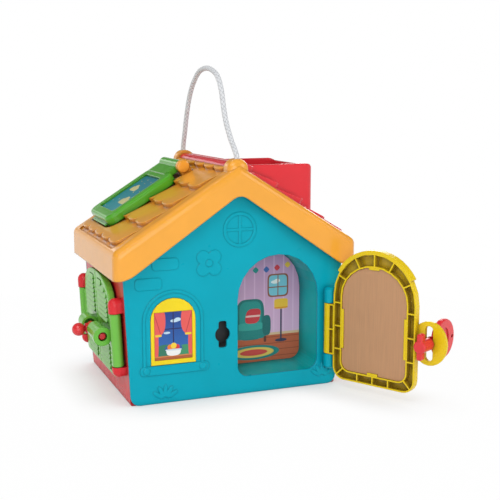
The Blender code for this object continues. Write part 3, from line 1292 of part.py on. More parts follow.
def door_ribs():
    """The ribs between the door's outer and inner walls, as outlines."""
    ribs = []
    reach = DOOR_HALF_WIDTH - BOARD_HALF_WIDTH
    heights = [DOOR_FOOT + (DOOR_SPRING - DOOR_FOOT) * part for part in DOOR_SIDE_RIB_SHARES]
    for side in (LEFT, RIGHT):
        x = DOOR_MIDDLE + side * (DOOR_HALF_WIDTH + BOARD_HALF_WIDTH) / 2
        ribs += [bar(x, height, 2 * reach, DOOR_RIB, 0) for height in heights]
        corner_x = DOOR_MIDDLE + side * (DOOR_HALF_WIDTH - DOOR_RADIUS / 2)
        corner_height = DOOR_FOOT + DOOR_RADIUS / 2
        ribs.append(bar(corner_x, corner_height, 2 * DOOR_RADIUS, DOOR_RIB, -side * math.pi / 4))
    for step in range(3):
        x = DOOR_MIDDLE + (step - 1) * DOOR_FOOT_RIB_SHARE * DOOR_HALF_WIDTH
        ribs.append(bar(x, (DOOR_FOOT + BOARD_FOOT) / 2, 2 * (BOARD_FOOT - DOOR_FOOT), DOOR_RIB,
                        math.pi / 2))
    for angle in DOOR_CROWN_RIBS:
        x = DOOR_MIDDLE + DOOR_HALF_WIDTH * math.cos(angle)
        height = DOOR_SPRING + DOOR_HALF_WIDTH * math.sin(angle)
        ribs.append(bar(x, height, DOOR_HALF_WIDTH, DOOR_RIB, angle))
    return ribs


def make_front_door():
    """The yellow door, its brown board, and the key that turns in its tab."""
    door = solid(door_outline(), DOOR_OUTER, DOOR_INNER, door_frame, low_edge=DOOR_EDGE)
    crown = DOOR_HALF_WIDTH + CROWN_STEP
    sweep = (math.pi / 2 - CROWN_ANGLE, math.pi / 2 + CROWN_ANGLE)
    head = arc((DOOR_MIDDLE, DOOR_SPRING), (crown, crown), sweep[0] / 2, math.pi - sweep[0] / 2, 14)
    head += arc((DOOR_MIDDLE, DOOR_SPRING), (BOARD_HALF_WIDTH, BOARD_CROWN_RISE), math.pi - sweep[0] / 2,
                sweep[0] / 2, 14)
    join(door, solid(head, DOOR_OUTER + DOOR_EDGE / 2, DOOR_INNER, door_frame))
    tab = oval(KEY_REACH, KEY_HEIGHT, TAB_HALF_WIDTH, TAB_HALF_HEIGHT)
    join(door, solid(tab, DOOR_OUTER, DOOR_OUTER + TAB_THICKNESS, door_frame, low_edge=WALL_EDGE))
    leaf_wall = DOOR_BARREL_RADIUS
    leaf = rectangle(0, DOOR_MIDDLE - DOOR_HALF_WIDTH + DOOR_OUTER_WALL, LEAF_FOOT, LEAF_HEAD)
    join(door, rod(leaf_wall, LEAF_FOOT, LEAF_HEAD, door_axis_place),
         solid(leaf, DOOR_AXIS.y - leaf_wall / 2, DOOR_AXIS.y + leaf_wall - CLEARANCE, door_frame))
    floor = DOOR_OUTER + DOOR_SKIN
    pockets = solid(door_outline(DOOR_OUTER_WALL), floor, DOOR_INNER + OVERRUN, door_frame)
    cut(pockets, solid(board_outline(DOOR_INNER_WALL), floor - OVERRUN, DOOR_INNER + 2 * OVERRUN,
                       door_frame))
    for rib in door_ribs():
        cut(pockets, solid(rib, floor - OVERRUN, DOOR_INNER + 2 * OVERRUN, door_frame))
    tray_floor = DOOR_INNER - BOARD_SINK - BOARD_THICKNESS - CLEARANCE
    cut(door, pockets, solid(board_outline(), tray_floor, DOOR_INNER + OVERRUN, door_frame))
    half_slot = TAB_SLOT_WIDTH / 2
    slot = rectangle(KEY_REACH - half_slot, KEY_REACH + half_slot, KEY_HEIGHT - TAB_SLOT_LENGTH / 2,
                     KEY_HEIGHT + TAB_SLOT_LENGTH / 2, half_slot - CLEARANCE)
    cut(door, solid(slot, DOOR_OUTER - OVERRUN, DOOR_OUTER + TAB_THICKNESS + SINK, door_frame),
        rod(PIN_BORE_RADIUS, LEAF_FOOT - OVERRUN, LEAF_HEAD + OVERRUN, door_axis_place, sides=SMALL_SIDES))
    cut_leaf_pockets(door)
    add_board_clips(door)
    board = solid(board_outline(-CLEARANCE), tray_floor + CLEARANCE, DOOR_INNER - BOARD_SINK, door_frame)
    hinge = bpy.data.objects.new("door_axis", None)
    hinge.location = DOOR_AXIS
    hinge.rotation_euler.z = DOOR_OPEN
    bpy.context.scene.collection.objects.link(hinge)
    for item, name, colour in ((door, "front_door", "yellow"), (board, "door_board", "brown")):
        finish(item, name, colour, DOOR_AXIS)
        item.location = (0, 0, 0)
        item.parent = hinge
    for item in make_key():
        item.location -= DOOR_AXIS
        item.parent = hinge


def cut_leaf_pockets(door):
    """The two pockets in the inner face of the hinge leaf."""
    wall = LEAF_POCKET_WALL
    middle = (LEAF_FOOT + LEAF_HEAD) / 2
    end = DOOR_MIDDLE - DOOR_HALF_WIDTH - CLEARANCE
    face = DOOR_AXIS.y + DOOR_BARREL_RADIUS - CLEARANCE
    for low, high in ((LEAF_FOOT + wall, middle - wall / 2), (middle + wall / 2, LEAF_HEAD - wall)):
        pocket = rectangle(LEAF_POCKET_START, end, low, high)
        cut(door, solid(pocket, face - LEAF_POCKET_DEPTH, face + OVERRUN, door_frame))


def add_board_clips(door):
    """The four clips that hold the board in its tray."""
    low = DOOR_INNER - BOARD_SINK + CLEARANCE
    high = min(low + CLIP_THICKNESS, DOOR_INNER)
    left = DOOR_MIDDLE - BOARD_HALF_WIDTH
    right = DOOR_MIDDLE + BOARD_HALF_WIDTH
    head = DOOR_SPRING + BOARD_CROWN_RISE
    straight = DOOR_SPRING - BOARD_FOOT
    middle = BOARD_FOOT + CLIP_MIDDLE_SHARE * straight
    half_height = CLIP_HEIGHT_SHARE * straight / 2
    seat = DOOR_INNER_WALL / 2
    half_width = CLIP_WIDTH / 2
    clips = (rectangle(left - seat, left + CLIP_REACH, middle - half_height, middle + half_height),
             rectangle(right - CLIP_REACH, right + seat, middle - half_height, middle + half_height),
             rectangle(DOOR_MIDDLE - half_width, DOOR_MIDDLE + half_width, head - CLIP_REACH, head + seat),
             rectangle(DOOR_MIDDLE - half_width, DOOR_MIDDLE + half_width, BOARD_FOOT - seat,
                       BOARD_FOOT + CLIP_REACH))
    for clip in clips:
        join(door, solid(clip, low, high, door_frame))


def make_key():
    """The key: a bow outside the tab and a bit inside it, which snap together."""
    seat = DOOR_OUTER - CLEARANCE
    inner_seat = DOOR_OUTER + TAB_THICKNESS + CLEARANCE
    bit_end = DOOR_AXIS.y + KEY_BIT_END
    bit_start = bit_end - KEY_BIT_THICKNESS
    stem_end = bit_end - KEY_BIT_THICKNESS / 2
    half = KEY_BOW_THICKNESS / 2
    handle = solid(disc(KEY_BOW_REACH, 0, KEY_BOW_RADIUS), -half, half, bow_place, KEY_BOW_EDGE,
                   KEY_BOW_EDGE)
    collar = seat - KEY_COLLAR_THICKNESS
    neck = seat - KEY_BOW_REACH / 2
    join(handle, turned(((KEY_STEM_RADIUS, neck), (KEY_STEM_RADIUS, collar), (KEY_COLLAR_RADIUS, collar),
                         (KEY_COLLAR_RADIUS, seat), (KEY_STEM_RADIUS, seat), (KEY_STEM_RADIUS, stem_end)),
                        key_axis_place, SMALL_SIDES + 4))
    recess = oval(KEY_BOW_REACH, 0, KEY_BOW_RECESS_LENGTH / 2, KEY_BOW_RECESS_WIDTH / 2)
    hole = disc(KEY_BOW_REACH + KEY_BOW_HOLE_REACH, 0, KEY_BOW_HOLE_RADIUS, SMALL_SIDES)
    cut(handle, solid(recess, half - KEY_BOW_RECESS_DEPTH, OVERRUN, bow_place),
        solid(recess, -OVERRUN, KEY_BOW_RECESS_DEPTH - half, bow_place),
        solid(hole, -OVERRUN, OVERRUN, bow_place))
    bit = rod(KEY_HUB_RADIUS, inner_seat, bit_end, key_axis_place, WALL_EDGE)
    half_width = KEY_BIT_WIDTH / 2
    lobes = rectangle(KEY_X - half_width, KEY_X + half_width, KEY_HEIGHT - KEY_BIT_LENGTH / 2,
                      KEY_HEIGHT + KEY_BIT_LENGTH / 2, KEYHOLE_CORNER_RADIUS)
    join(bit, solid(lobes, bit_start, bit_end - CLEARANCE, front_frame, high_edge=WALL_EDGE))
    cut(bit, rod(KEY_STEM_RADIUS + CLEARANCE, inner_seat - OVERRUN, stem_end + CLEARANCE, key_axis_place,
                 sides=SMALL_SIDES + 4))
    axis = key_axis_place(0, 0, DOOR_OUTER)
    return finish(handle, "key_handle", "red", axis), finish(bit, "key_bit", "red", axis)


def make_pins():
    """The steel pins of the five hinges."""
    half = ROOF_HALF_LENGTH - KNUCKLE_INSET - RIDGE_PIN_MARGIN
    flap_start = FLAP_BARREL_FRONT - RUNNING_GAP - FLAP_LUG_WIDTH + FLAP_PIN_MARGIN
    flap_end = FLAP_BARREL_BACK + RUNNING_GAP + FLAP_BACK_LUG_WIDTH - FLAP_PIN_MARGIN
    door_start = LEAF_FOOT - BOSS_LENGTH + DOOR_PIN_MARGIN
    door_end = LEAF_HEAD + BOSS_LENGTH - DOOR_PIN_MARGIN
    foot = SHUTTER_BARREL_FOOT - SHUTTER_PIN_MARGIN
    head = SHUTTER_BARREL_HEAD + SHUTTER_PIN_MARGIN
    pins = (("ridge_pin", -half, half, ridge_place),
            ("flap_pin", flap_start, flap_end, flap_axis_place),
            ("door_pin", door_start, door_end, door_axis_place),
            ("near_shutter_pin", foot, head, shutter_axis_place(-1)),
            ("far_shutter_pin", foot, head, shutter_axis_place(1)))
    for name, start, end, place in pins:
        finish(rod(PIN_RADIUS, start, end, place, CLEARANCE, SMALL_SIDES), name, "steel")


def make_base():
    """The base plate, and the four screws that hold it to the gabled walls."""
    half = HALF_DEPTH - WALL - CLEARANCE
    outline = fillet(((-FLOOR_HALF_WIDTH, 0, BASE_RADIUS), (FLOOR_HALF_WIDTH, 0, BASE_RADIUS),
                      (FLOOR_HALF_WIDTH, BASE_THICKNESS, 0), (-FLOOR_HALF_WIDTH, BASE_THICKNESS, 0)), 3)
    base = solid(outline, -half, half, front_frame)
    for end, row in ((-1, "front"), (1, "back")):
        for side, column in ((LEFT, "left"), (RIGHT, "right")):
            post_y = end * (HALF_DEPTH - WALL - POST_SEAT)

            def place(x, y, along, side=side, post_y=post_y):
                return Vector((side * POST_X + x, post_y + y, along))

            seat = SCREW_SINK
            bore, sink = SCREW_SHANK_RADIUS + CLEARANCE, SCREW_HEAD_RADIUS + CLEARANCE
            cut(base, turned(((sink, -OVERRUN), (sink, seat), (bore, seat), (bore, OVERRUN)), place,
                             SMALL_SIDES))
            low = seat - CLEARANCE - SCREW_HEAD_HEIGHT
            screw = turned(((SCREW_HEAD_RADIUS - CLEARANCE, low), (SCREW_HEAD_RADIUS, low + CLEARANCE),
                            (SCREW_HEAD_RADIUS, seat - CLEARANCE), (SCREW_SHANK_RADIUS, seat - CLEARANCE),
                            (SCREW_SHANK_RADIUS, seat + SCREW_LENGTH - CLEARANCE)), place, SMALL_SIDES)
            finish(screw, "base_screw_" + row + "_" + column, "steel")
    finish(base, "base_plate", "red")


def rope_curve():
    """Points on a smooth curve through the rope's route, evenly stepped."""
    route = [Vector(point) for point in ROPE_ROUTE]
    dense = []
    for index in range(len(route) - 1):
        before = route[max(index - 1, 0)]
        start, end = route[index], route[index + 1]
        after = route[min(index + 2, len(route) - 1)]
        for step in range(20):
            t = step / 20
            bend = 2 * before - 5 * start + 4 * end - after
            twist = 3 * start - before - 3 * end + after
            dense.append((2 * start + (end - before) * t + bend * t ** 2 + twist * t ** 3) / 2)
    dense.append(route[-1])
    length = sum((b - a).length for a, b in zip(dense, dense[1:]))
    count = round(length / ROPE_STEP)
    points = [dense[0]]
    walked = 0
    for a, b in zip(dense, dense[1:]):
        walked += (b - a).length
        if walked >= len(points) * length / count and len(points) < count:
            points.append(b)
    return points + [dense[-1]]


def make_rope():
    """The carrying rope, whose ends sit in the ridge knuckles."""
    points = rope_curve()
    curve = bpy.data.curves.new("rope_handle", "CURVE")
    curve.dimensions = "3D"
    curve.bevel_depth = ROPE_RADIUS
    curve.bevel_resolution = ROPE_SIDES_SETTING
    curve.use_fill_caps = True
    spline = curve.splines.new("POLY")
    spline.points.add(len(points) - 1)
    for target, point in zip(spline.points, points):
        target.co = (0, point.x, point.y, 1)
    curve.materials.append(make_material("rope"))
    rope = bpy.data.objects.new("rope_handle", curve)
    bpy.context.scene.collection.objects.link(rope)


def main():
    """Build the house."""
    for item in list(bpy.data.objects):
        bpy.data.objects.remove(item, do_unlink=True)
    make_front_wall()
    finish(wall_plate(1), "back_wall", "blue")
    make_side_wall(LEFT, "left_wall")
    make_side_wall(RIGHT, "right_wall")
    make_base()
    make_alcove()
    make_window()
    make_lock_cover()
    make_roof()
    make_roof_lid()
    make_skylight_flap()
    make_front_door()
    make_shutter(-1, "near_shutter")
    make_shutter(1, "far_shutter")
    make_slide_bolt()
    make_pins()
    make_rope()


main()
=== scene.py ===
"""Activity house: materials, printed cards, rope, floor, light and camera."""
import math

import bmesh
import bpy
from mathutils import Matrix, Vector


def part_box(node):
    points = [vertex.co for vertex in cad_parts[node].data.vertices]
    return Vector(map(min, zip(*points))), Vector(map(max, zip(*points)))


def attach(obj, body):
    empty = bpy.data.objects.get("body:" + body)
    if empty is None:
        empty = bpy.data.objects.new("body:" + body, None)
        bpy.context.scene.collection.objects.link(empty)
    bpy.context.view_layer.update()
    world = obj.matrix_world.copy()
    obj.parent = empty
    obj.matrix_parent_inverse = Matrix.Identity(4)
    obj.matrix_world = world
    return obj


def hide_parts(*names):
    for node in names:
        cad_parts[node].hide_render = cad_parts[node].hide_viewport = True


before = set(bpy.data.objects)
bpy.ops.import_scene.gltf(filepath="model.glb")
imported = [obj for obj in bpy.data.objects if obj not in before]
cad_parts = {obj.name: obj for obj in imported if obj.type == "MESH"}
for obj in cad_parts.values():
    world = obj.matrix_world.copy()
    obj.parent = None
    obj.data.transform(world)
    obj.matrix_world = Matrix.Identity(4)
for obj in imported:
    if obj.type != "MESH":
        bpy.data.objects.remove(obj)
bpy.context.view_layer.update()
scene = bpy.context.scene

MILLIMETRES = 1000
WHITE = (1, 1, 1, 1)

CAMERA_PLACE = Vector((-0.3537, -1.0199, 0.3198))
CAMERA_AIM = Vector((0.3647, 0.9174, -0.159))
CAMERA_LENS = 67.77
SENSOR_WIDTH = 36
CLIP_START = 0.01

# The rope's middle line in its own upright plane, in millimetres: y, z.
ROPE_ROUTE = (
    (-92.5, 252.0), (-92.2, 259.7), (-87.7, 265.2), (-82.0, 270.4), (-76.0, 275.8), (-71.2, 281.0),
    (-65.8, 287.1), (-61.6, 292.6), (-57.8, 299.2), (-54.6, 306.2), (-51.8, 313.0), (-49.5, 319.4),
    (-47.2, 326.3), (-43.4, 333.0), (-38.7, 339.4), (-33.0, 344.3), (-26.3, 347.7), (-19.4, 350.0),
    (-12.0, 351.9), (-4.5, 353.1), (2.9, 353.5), (10.5, 353.4), (18.0, 352.6), (25.2, 351.2),
    (31.7, 348.9), (39.1, 345.2), (44.8, 341.5), (51.0, 337.1), (57.0, 331.7), (61.4, 326.8),
    (66.2, 320.6), (70.0, 314.5), (73.4, 308.0), (77.0, 300.5), (79.7, 294.1), (82.5, 286.6),
    (85.0, 280.0), (87.8, 273.1), (90.5, 266.5), (92.4, 259.4), (92.5, 252.0))
ROPE_DIAMETER = 0.006
ROPE_STRANDS = 8
ROPE_SIDES = 32
ROPE_SMOOTH_STEPS = 12
ROPE_RING_STEP = 0.0007
ROPE_DIAMOND = 0.0052
ROPE_RELIEF = 0.00045

# Where the Mix node keeps its colour sockets.
MIX_FACTOR, MIX_LOW, MIX_HIGH, MIX_RESULT = 0, 6, 7, 2

# The looks of the materials. A noise is its scale, its detail and, where set, its roughness. A span is the
# part of a noise's range, or of an openness to the air, that changes the look.
FLOW_NOISE = (22.0, 3.0)
SCUFF_NOISE = (160.0, 4.0, 0.65)
SHEEN_NOISE = (75.0, 3.0)
SKIN_NOISE = (1400.0, 1.5)
WAVE_NOISE = (30.0, 1.0)
NOISE_SPAN = (0.3, 0.7)
SCUFF_SPAN = (0.64, 0.8)
# Painted shade: hollows that ambient occlusion finds are painted toward a darker colour, as far as this
# strength.
PAINTED_SHADE_SPAN = (0.35, 0.92)
PAINTED_SHADE_STRENGTH = 0.85
SCUFF_STRENGTH = 0.3
SCUFF_LIGHTER = 1.12
FLOW_TONES = (0.965, 1.035)
SHEEN_CHANGE = (-0.05, 0.07)
WAVE_SHARE = 1.5
SKIN_BUMP = {"Strength": 0.02, "Distance": 0.0004}
PAINTED_SHADE_SAMPLES = 6
EDGE_SAMPLES = 8

# Moulded plastics: colour, painted shade colour in hollows, roughness, specular level, reach of the painted
# shade, edge radius.
# How far the painted shade reaches into a hollow, and the plain edge radius.
PAINTED_SHADE_REACH = 0.007
EDGE = 0.0009
PLASTICS = {
    "blue_wall": ((0, 169, 191), (0, 134, 152), 0.32, 0.16, PAINTED_SHADE_REACH, 0.0016),
    "red_wall": ((228, 46, 54), (150, 14, 22), 0.3, 0.3, PAINTED_SHADE_REACH, EDGE),
    "teal_liner": ((0, 184, 186), (0, 104, 100), 0.34, 0.1, 0.02, EDGE),
    "orange_roof": ((246, 170, 60), (160, 82, 10), 0.14, 0.45, 0.01, 0.003),
    "red_lid": ((228, 46, 56), (140, 10, 22), 0.14, 0.4, PAINTED_SHADE_REACH, 0.002),
    "green_flap": ((84, 176, 40), (30, 100, 18), 0.14, 0.45, PAINTED_SHADE_REACH, 0.002),
    "pale_green_shutter": ((116, 196, 72), (66, 130, 40), 0.2, 0.4, PAINTED_SHADE_REACH, EDGE),
    "yellow_door": ((242, 208, 14), (122, 92, 30), 0.26, 0.35, 0.012, EDGE),
    "yellow_frame": ((246, 218, 30), (190, 150, 10), 0.34, 0.3, PAINTED_SHADE_REACH, EDGE),
    "red_bolt": ((232, 50, 56), (150, 14, 18), 0.2, 0.5, PAINTED_SHADE_REACH, EDGE),
    "black_lock": ((66, 68, 70), (44, 45, 46), 0.5, 0.3, PAINTED_SHADE_REACH, EDGE),
}
MOULDED = {
    "front_wall": "blue_wall", "back_wall": "blue_wall", "left_wall": "red_wall", "right_wall": "red_wall",
    "base_plate": "red_wall", "alcove": "teal_liner", "roof_shell": "orange_roof", "roof_lid": "red_lid",
    "skylight_flap": "green_flap", "near_shutter": "pale_green_shutter",
    "far_shutter": "pale_green_shutter", "front_door": "yellow_door", "window_frame": "yellow_frame",
    "slide_bolt": "red_bolt", "key_handle": "red_bolt", "key_bit": "red_bolt", "lock_cover": "black_lock",
}

# The other finishes: board, steel, the cards' paper and the rope.
BOARD_COLOUR = (198, 150, 112)
BOARD_STRETCH = (150.0, 150.0, 5.0)
BOARD_FIBRES = (6.0, 4.0, 0.6)
BOARD_FIBRE_SPAN = (0.32, 0.68)
BOARD_FIBRE_TONES = (0.93, 1.07)
BOARD_PATCHES = (30.0, 2.0)
BOARD_PATCH_SPAN = (0.35, 0.7)
BOARD_PATCH_STRENGTH = 0.35
BOARD_PATCH_LIGHTER = 1.12
BOARD_ROUGHNESS = (0.55, 0.72)
BOARD_BUMP = {"Strength": 0.12, "Distance": 0.0002}
BOARD_SPECULAR = 0.3
STEEL_STREAKS = (700.0, 3.0)
STEEL_SPAN = (0.2, 0.8)
STEEL_TONES = ((0.42, 0.43, 0.45, 1), (0.68, 0.69, 0.7, 1))
STEEL_ROUGHNESS = (0.25, 0.42)
PAPER_NOISE = (2400.0, 2.0)
PAPER_TONE = (0.9, 0.88, 0.85, 1)
PAPER_STRENGTH = 0.06
PAPER_ROUGHNESS = (0.36, 0.5)
PAPER_BUMP = {"Strength": 0.08, "Distance": 0.0001}
PAPER_SPECULAR = 0.14
# The rope's grooves between strands are painted a darker grey, as shade.
ROPE_GROOVE_SHADE_TONE = (0.44, 0.45, 0.47, 1)
ROPE_STRAND_TONE = (0.79, 0.81, 0.83, 1)
ROPE_FIBRE_TONE = (0.5, 0.5, 0.53, 1)
ROPE_FIBRES = (3200.0, 3.0)
ROPE_GROOVE_SHADE_SPAN = (0.05, 0.7)
ROPE_FIBRE_SPAN = (0.35, 0.7)
ROPE_FIBRE_STRENGTH = 0.3
ROPE_ROUGHNESS = (0.7, 0.9)
ROPE_BUMP = {"Strength": 0.35, "Distance": 0.0002}
ROPE_SHEEN = 0.2

# An upright card is more than this many times as wide as it is thick.
UPRIGHT_RATIO = 4

# How softly a print's shapes, stripes and grounds end.
SHAPE_EDGE = (1.04, 0.96)
STRIPE_BLUR = 0.2
GROUND_BLUR = 0.15

# Prints, in millimetres from each card's lower left corner. A shape is its middle, its half sizes, its
# colour, its power (2 an oval, higher a rounded box) and its lean.
ROOM_WALL = ((226, 184, 216), (198, 152, 194))
ROOM_WALL_SPAN = (30.0, 132.0)
ROOM_STRIPES = (12.0, 0.86, (236, 200, 228))
ROOM_SKIRTING = (33.0, (226, 190, 150))
ROOM_FLOOR = (30.0, (196, 98, 62))
ROOM_BOARDS = tuple(((47.0, up), (60.0, 0.35), (150, 66, 42), 8.0) for up in (5.0, 12.5, 20.0, 27.5))
ROOM_RUG = (
    ((38.0, 11.0), (32.0, 8.5), (22, 134, 130)),
    ((38.0, 11.0), (25.0, 6.0), (240, 204, 96)),
    ((38.0, 11.0), (17.0, 3.6), (222, 76, 70)))
ROOM_WINDOW = (
    ((68.0, 88.0), (13.0, 13.5), (150, 84, 52), 6.0),
    ((68.0, 88.0), (11.3, 11.8), (128, 204, 222), 6.0),
    ((64.0, 92.0), (4.6, 2.0), (244, 246, 244)),
    ((67.0, 93.3), (3.6, 2.2), (244, 246, 244)),
    ((68.0, 88.0), (0.6, 12.5), (150, 84, 52), 8.0),
    ((68.0, 86.0), (12.0, 0.6), (150, 84, 52), 8.0))
ROOM_CHAIR = (
    ((34.0, 50.0), (17.0, 24.0), (16, 118, 116), 4.0),
    ((34.0, 52.0), (13.6, 19.5), (30, 150, 144), 4.0),
    ((34.0, 36.0), (20.0, 9.0), (24, 138, 134), 5.0),
    ((34.0, 42.0), (17.0, 4.6), (52, 170, 160), 3.0),
    ((14.0, 42.0), (5.2, 12.0), (14, 110, 110), 3.0),
    ((16.0, 26.0), (1.6, 3.6), (104, 54, 40), 4.0),
    ((54.0, 42.0), (5.2, 12.0), (14, 110, 110), 3.0),
    ((52.0, 26.0), (1.6, 3.6), (104, 54, 40), 4.0),
    ((37.0, 54.0), (9.0, 8.6), (214, 58, 68), 3.2, 0.2),
    ((37.0, 54.0), (9.0, 1.1), (244, 196, 190), 6.0, 0.2))
ROOM_LAMP = (
    ((72.0, 45.0), (1.0, 22.0), (52, 56, 84), 8.0),
    ((72.0, 23.0), (7.5, 2.0), (52, 56, 84)),
    ((72.0, 66.0), (8.6, 6.0), (246, 196, 60), 5.0),
    ((72.0, 61.4), (8.6, 0.8), (232, 150, 40), 6.0))
ROOM_BUNTING = (
    ((14.0, 111.375), (3.6, 3.6), (214, 58, 68), 1.3),
    ((27.2, 108.575), (3.6, 3.6), (244, 200, 72), 1.3),
    ((40.4, 107.175), (3.6, 3.6), (30, 150, 144), 1.3),
    ((53.6, 107.175), (3.6, 3.6), (60, 104, 176), 1.3),
    ((66.8, 108.575), (3.6, 3.6), (214, 58, 68), 1.3),
    ((80.0, 111.375), (3.6, 3.6), (244, 200, 72), 1.3))
ROOM_SHAPES = ROOM_BOARDS + ROOM_RUG + ROOM_WINDOW + ROOM_CHAIR + ROOM_LAMP + ROOM_BUNTING

SKY = ((40, 106, 184), (22, 62, 142))
SKY_SPAN = (8.0, 48.0)
SKY_BACK = (
    ((22.0, 41.5), (4.6, 1.7), (196, 222, 240)),
    ((25.5, 42.6), (3.4, 2.1), (196, 222, 240)),
    ((13.5, 29.0), (3.6, 1.3), (196, 222, 240)),
    ((12.0, 4.0), (18.0, 12.5), (44, 120, 96)),
    ((34.0, 2.0), (16.0, 13.0), (60, 146, 104)),
    ((20.6, 25.0), (0.6, 30.0), (26, 34, 92), 8.0),
    ((20.6, 33.0), (24.0, 0.6), (26, 34, 92), 8.0),
    ((-0.9, 42.0), (13.0, 17.0), (234, 92, 88), 2.6),
    ((-1.9, 20.0), (6.2, 24.0), (234, 92, 88), 3.0),
    ((3.1, 40.0), (0.5, 12.0), (196, 62, 66), 3.0, -0.3),
    ((4.2, 26.5), (3.6, 1.2), (246, 206, 60), 4.0),
    ((42.1, 42.0), (13.0, 17.0), (234, 92, 88), 2.6),
    ((43.1, 20.0), (6.2, 24.0), (234, 92, 88), 3.0),
    ((38.1, 40.0), (0.5, 12.0), (196, 62, 66), 3.0, 0.3),
    ((37.0, 26.5), (3.6, 1.2), (246, 206, 60), 4.0))
SKY_SILL = ((4.2, (214, 130, 70)), (3.0, (176, 92, 50)))
SKY_FRUIT = (
    ((20.6, 8.6), (8.0, 4.2), (236, 240, 238), 2.6),
    ((20.6, 12.0), (9.5, 2.3), (44, 92, 160), 6.0),
    ((17.0, 13.2), (3.1, 3.1), (240, 128, 44)),
    ((24.4, 13.0), (3.0, 3.0), (216, 54, 58)),
    ((20.8, 14.6), (3.2, 3.2), (248, 210, 60)),
    ((20.6, 7.2), (7.6, 3.4), (240, 242, 240), 2.4),
    ((20.6, 10.2), (8.8, 0.9), (212, 224, 230), 5.0))

CLOUD_SKY = ((0, 146, 156), (0, 122, 140))
CLOUD_SKY_SPAN = (0.0, 66.0)
CLOUD_TONE = (206, 200, 140)
DOT_TONE = (222, 206, 120)
DOTS = 14
DOT_RADIUS = 0.9
DOT_CORNER = (6.0, 5.0)
DOT_STEPS = (23.7, 37.3)
DOT_FIELD = (52.0, 57.0)
CLOUDS = ((21.0, 42.0, 1.0), (43.0, 20.0, 1.15))
CLOUD_PUFFS = ((-7.0, 0.0, 4.2), (0.0, 2.6, 6.0), (7.0, 0.0, 4.6))
PUFF_FLATNESS = 0.8
CLOUD_BASE = (11.0, 2.0)
CLOUD_BASE_DROP = 2.6
CLOUD_BASE_POWER = 4.0

# The floor is white far from the house and keeps a soft shadow near it.
FLOOR_REACH = 6.0
FLOOR_TONE = (0.86, 0.86, 0.86, 1)
FLOOR_ROUGHNESS = 0.8
SHADOW_REACH = 0.06
SHADOW_SAMPLES = 16
SHADOW_SPAN = (0.5, 0.98)
SHADOW_WHITES = (0.4, 0.985)
FAR_SPAN = (0.3, 0.55)

# The surround's light, how bright reflections see it overhead, and the heights between which it darkens.
WORLD_LIGHT = 0.52
CEILING = 0.1
CEILING_SPAN = (0.08, 0.28)

# Lamps: place, width and height, power. All face one point of the house.
LAMP_TARGET = Vector((0, 0, 0.14))
LAMPS = {
    "key_lamp": ((-0.9, -1.1, 1.5), (1.2, 0.3), 9.0),
    "fill_lamp": ((1.3, -1.2, 0.9), (1.0, 0.5), 4.0),
    "front_lamp": ((-0.35, -1.6, 0.45), (0.8, 0.8), 5.7),
    "top_lamp": ((-0.5, 0.7, 1.8), (1.3, 0.3), 3.6),
    "rim_lamp": ((1.0, 1.3, 0.6), (0.7, 0.7), 4.6),
    "back_lamp": ((-0.55, 1.9, 0.75), (0.7, 0.26), 0.9),
}


def make_camera():
    """The camera at the photograph's angle."""
    camera = bpy.data.objects.new("camera", bpy.data.cameras.new("camera"))
    scene.collection.objects.link(camera)
    camera.location = CAMERA_PLACE
    camera.rotation_euler = CAMERA_AIM.to_track_quat("-Z", "Y").to_euler()
    camera.data.lens = CAMERA_LENS
    camera.data.sensor_width = SENSOR_WIDTH
    camera.data.clip_start = CLIP_START
    scene.camera = camera


def add_node(tree, kind, inputs=None, **settings):
    """A shader node with its settings; an input is a value or a socket to link."""
    node = tree.nodes.new("ShaderNode" + kind)
    for key, value in settings.items():
        setattr(node, key, value)
    for key, value in (inputs or {}).items():
        if isinstance(value, bpy.types.NodeSocket):
            tree.links.new(value, node.inputs[key])
        else:
            node.inputs[key].default_value = value
    return node


def new_material(name):
    """A material's node tree and its Principled shader."""
    material = bpy.data.materials.new(name)
    material.use_nodes = True
    tree = material.node_tree
    return material, tree, tree.nodes["Principled BSDF"]


def linear(red, green, blue):
    """A colour of 0 to 255 values as linear RGBA."""
    def turn(value):
        value /= 255
        return value / 12.92 if value <= 0.04045 else ((value + 0.055) / 1.055) ** 2.4

    return turn(red), turn(green), turn(blue), 1.0


def scaled(colour, factor):
    """A colour made lighter or darker."""
    return tuple(min(1.0, part * factor) for part in colour[:3]) + (1.0,)


def mixed(tree, factor, low, high):
    """A colour between low and high."""
    inputs = {MIX_FACTOR: factor, MIX_LOW: low, MIX_HIGH: high}
    return add_node(tree, "Mix", inputs, data_type="RGBA").outputs[MIX_RESULT]


def ranged(tree, value, start, end, low, high):
    """A value carried from one range to another."""
    return add_node(tree, "MapRange", dict(enumerate((value, start, end, low, high)))).outputs[0]


def math_node(tree, operation, first, second=0.0):
    """The result of one sum."""
    return add_node(tree, "Math", {0: first, 1: second}, operation=operation).outputs[0]


def noise(tree, coords, scale, detail, roughness=0.5):
    """Noise of about 0 to 1 over the surface."""
    inputs = {"Vector": coords, "Scale": scale, "Detail": detail, "Roughness": roughness}
    return add_node(tree, "TexNoise", inputs).outputs[0]


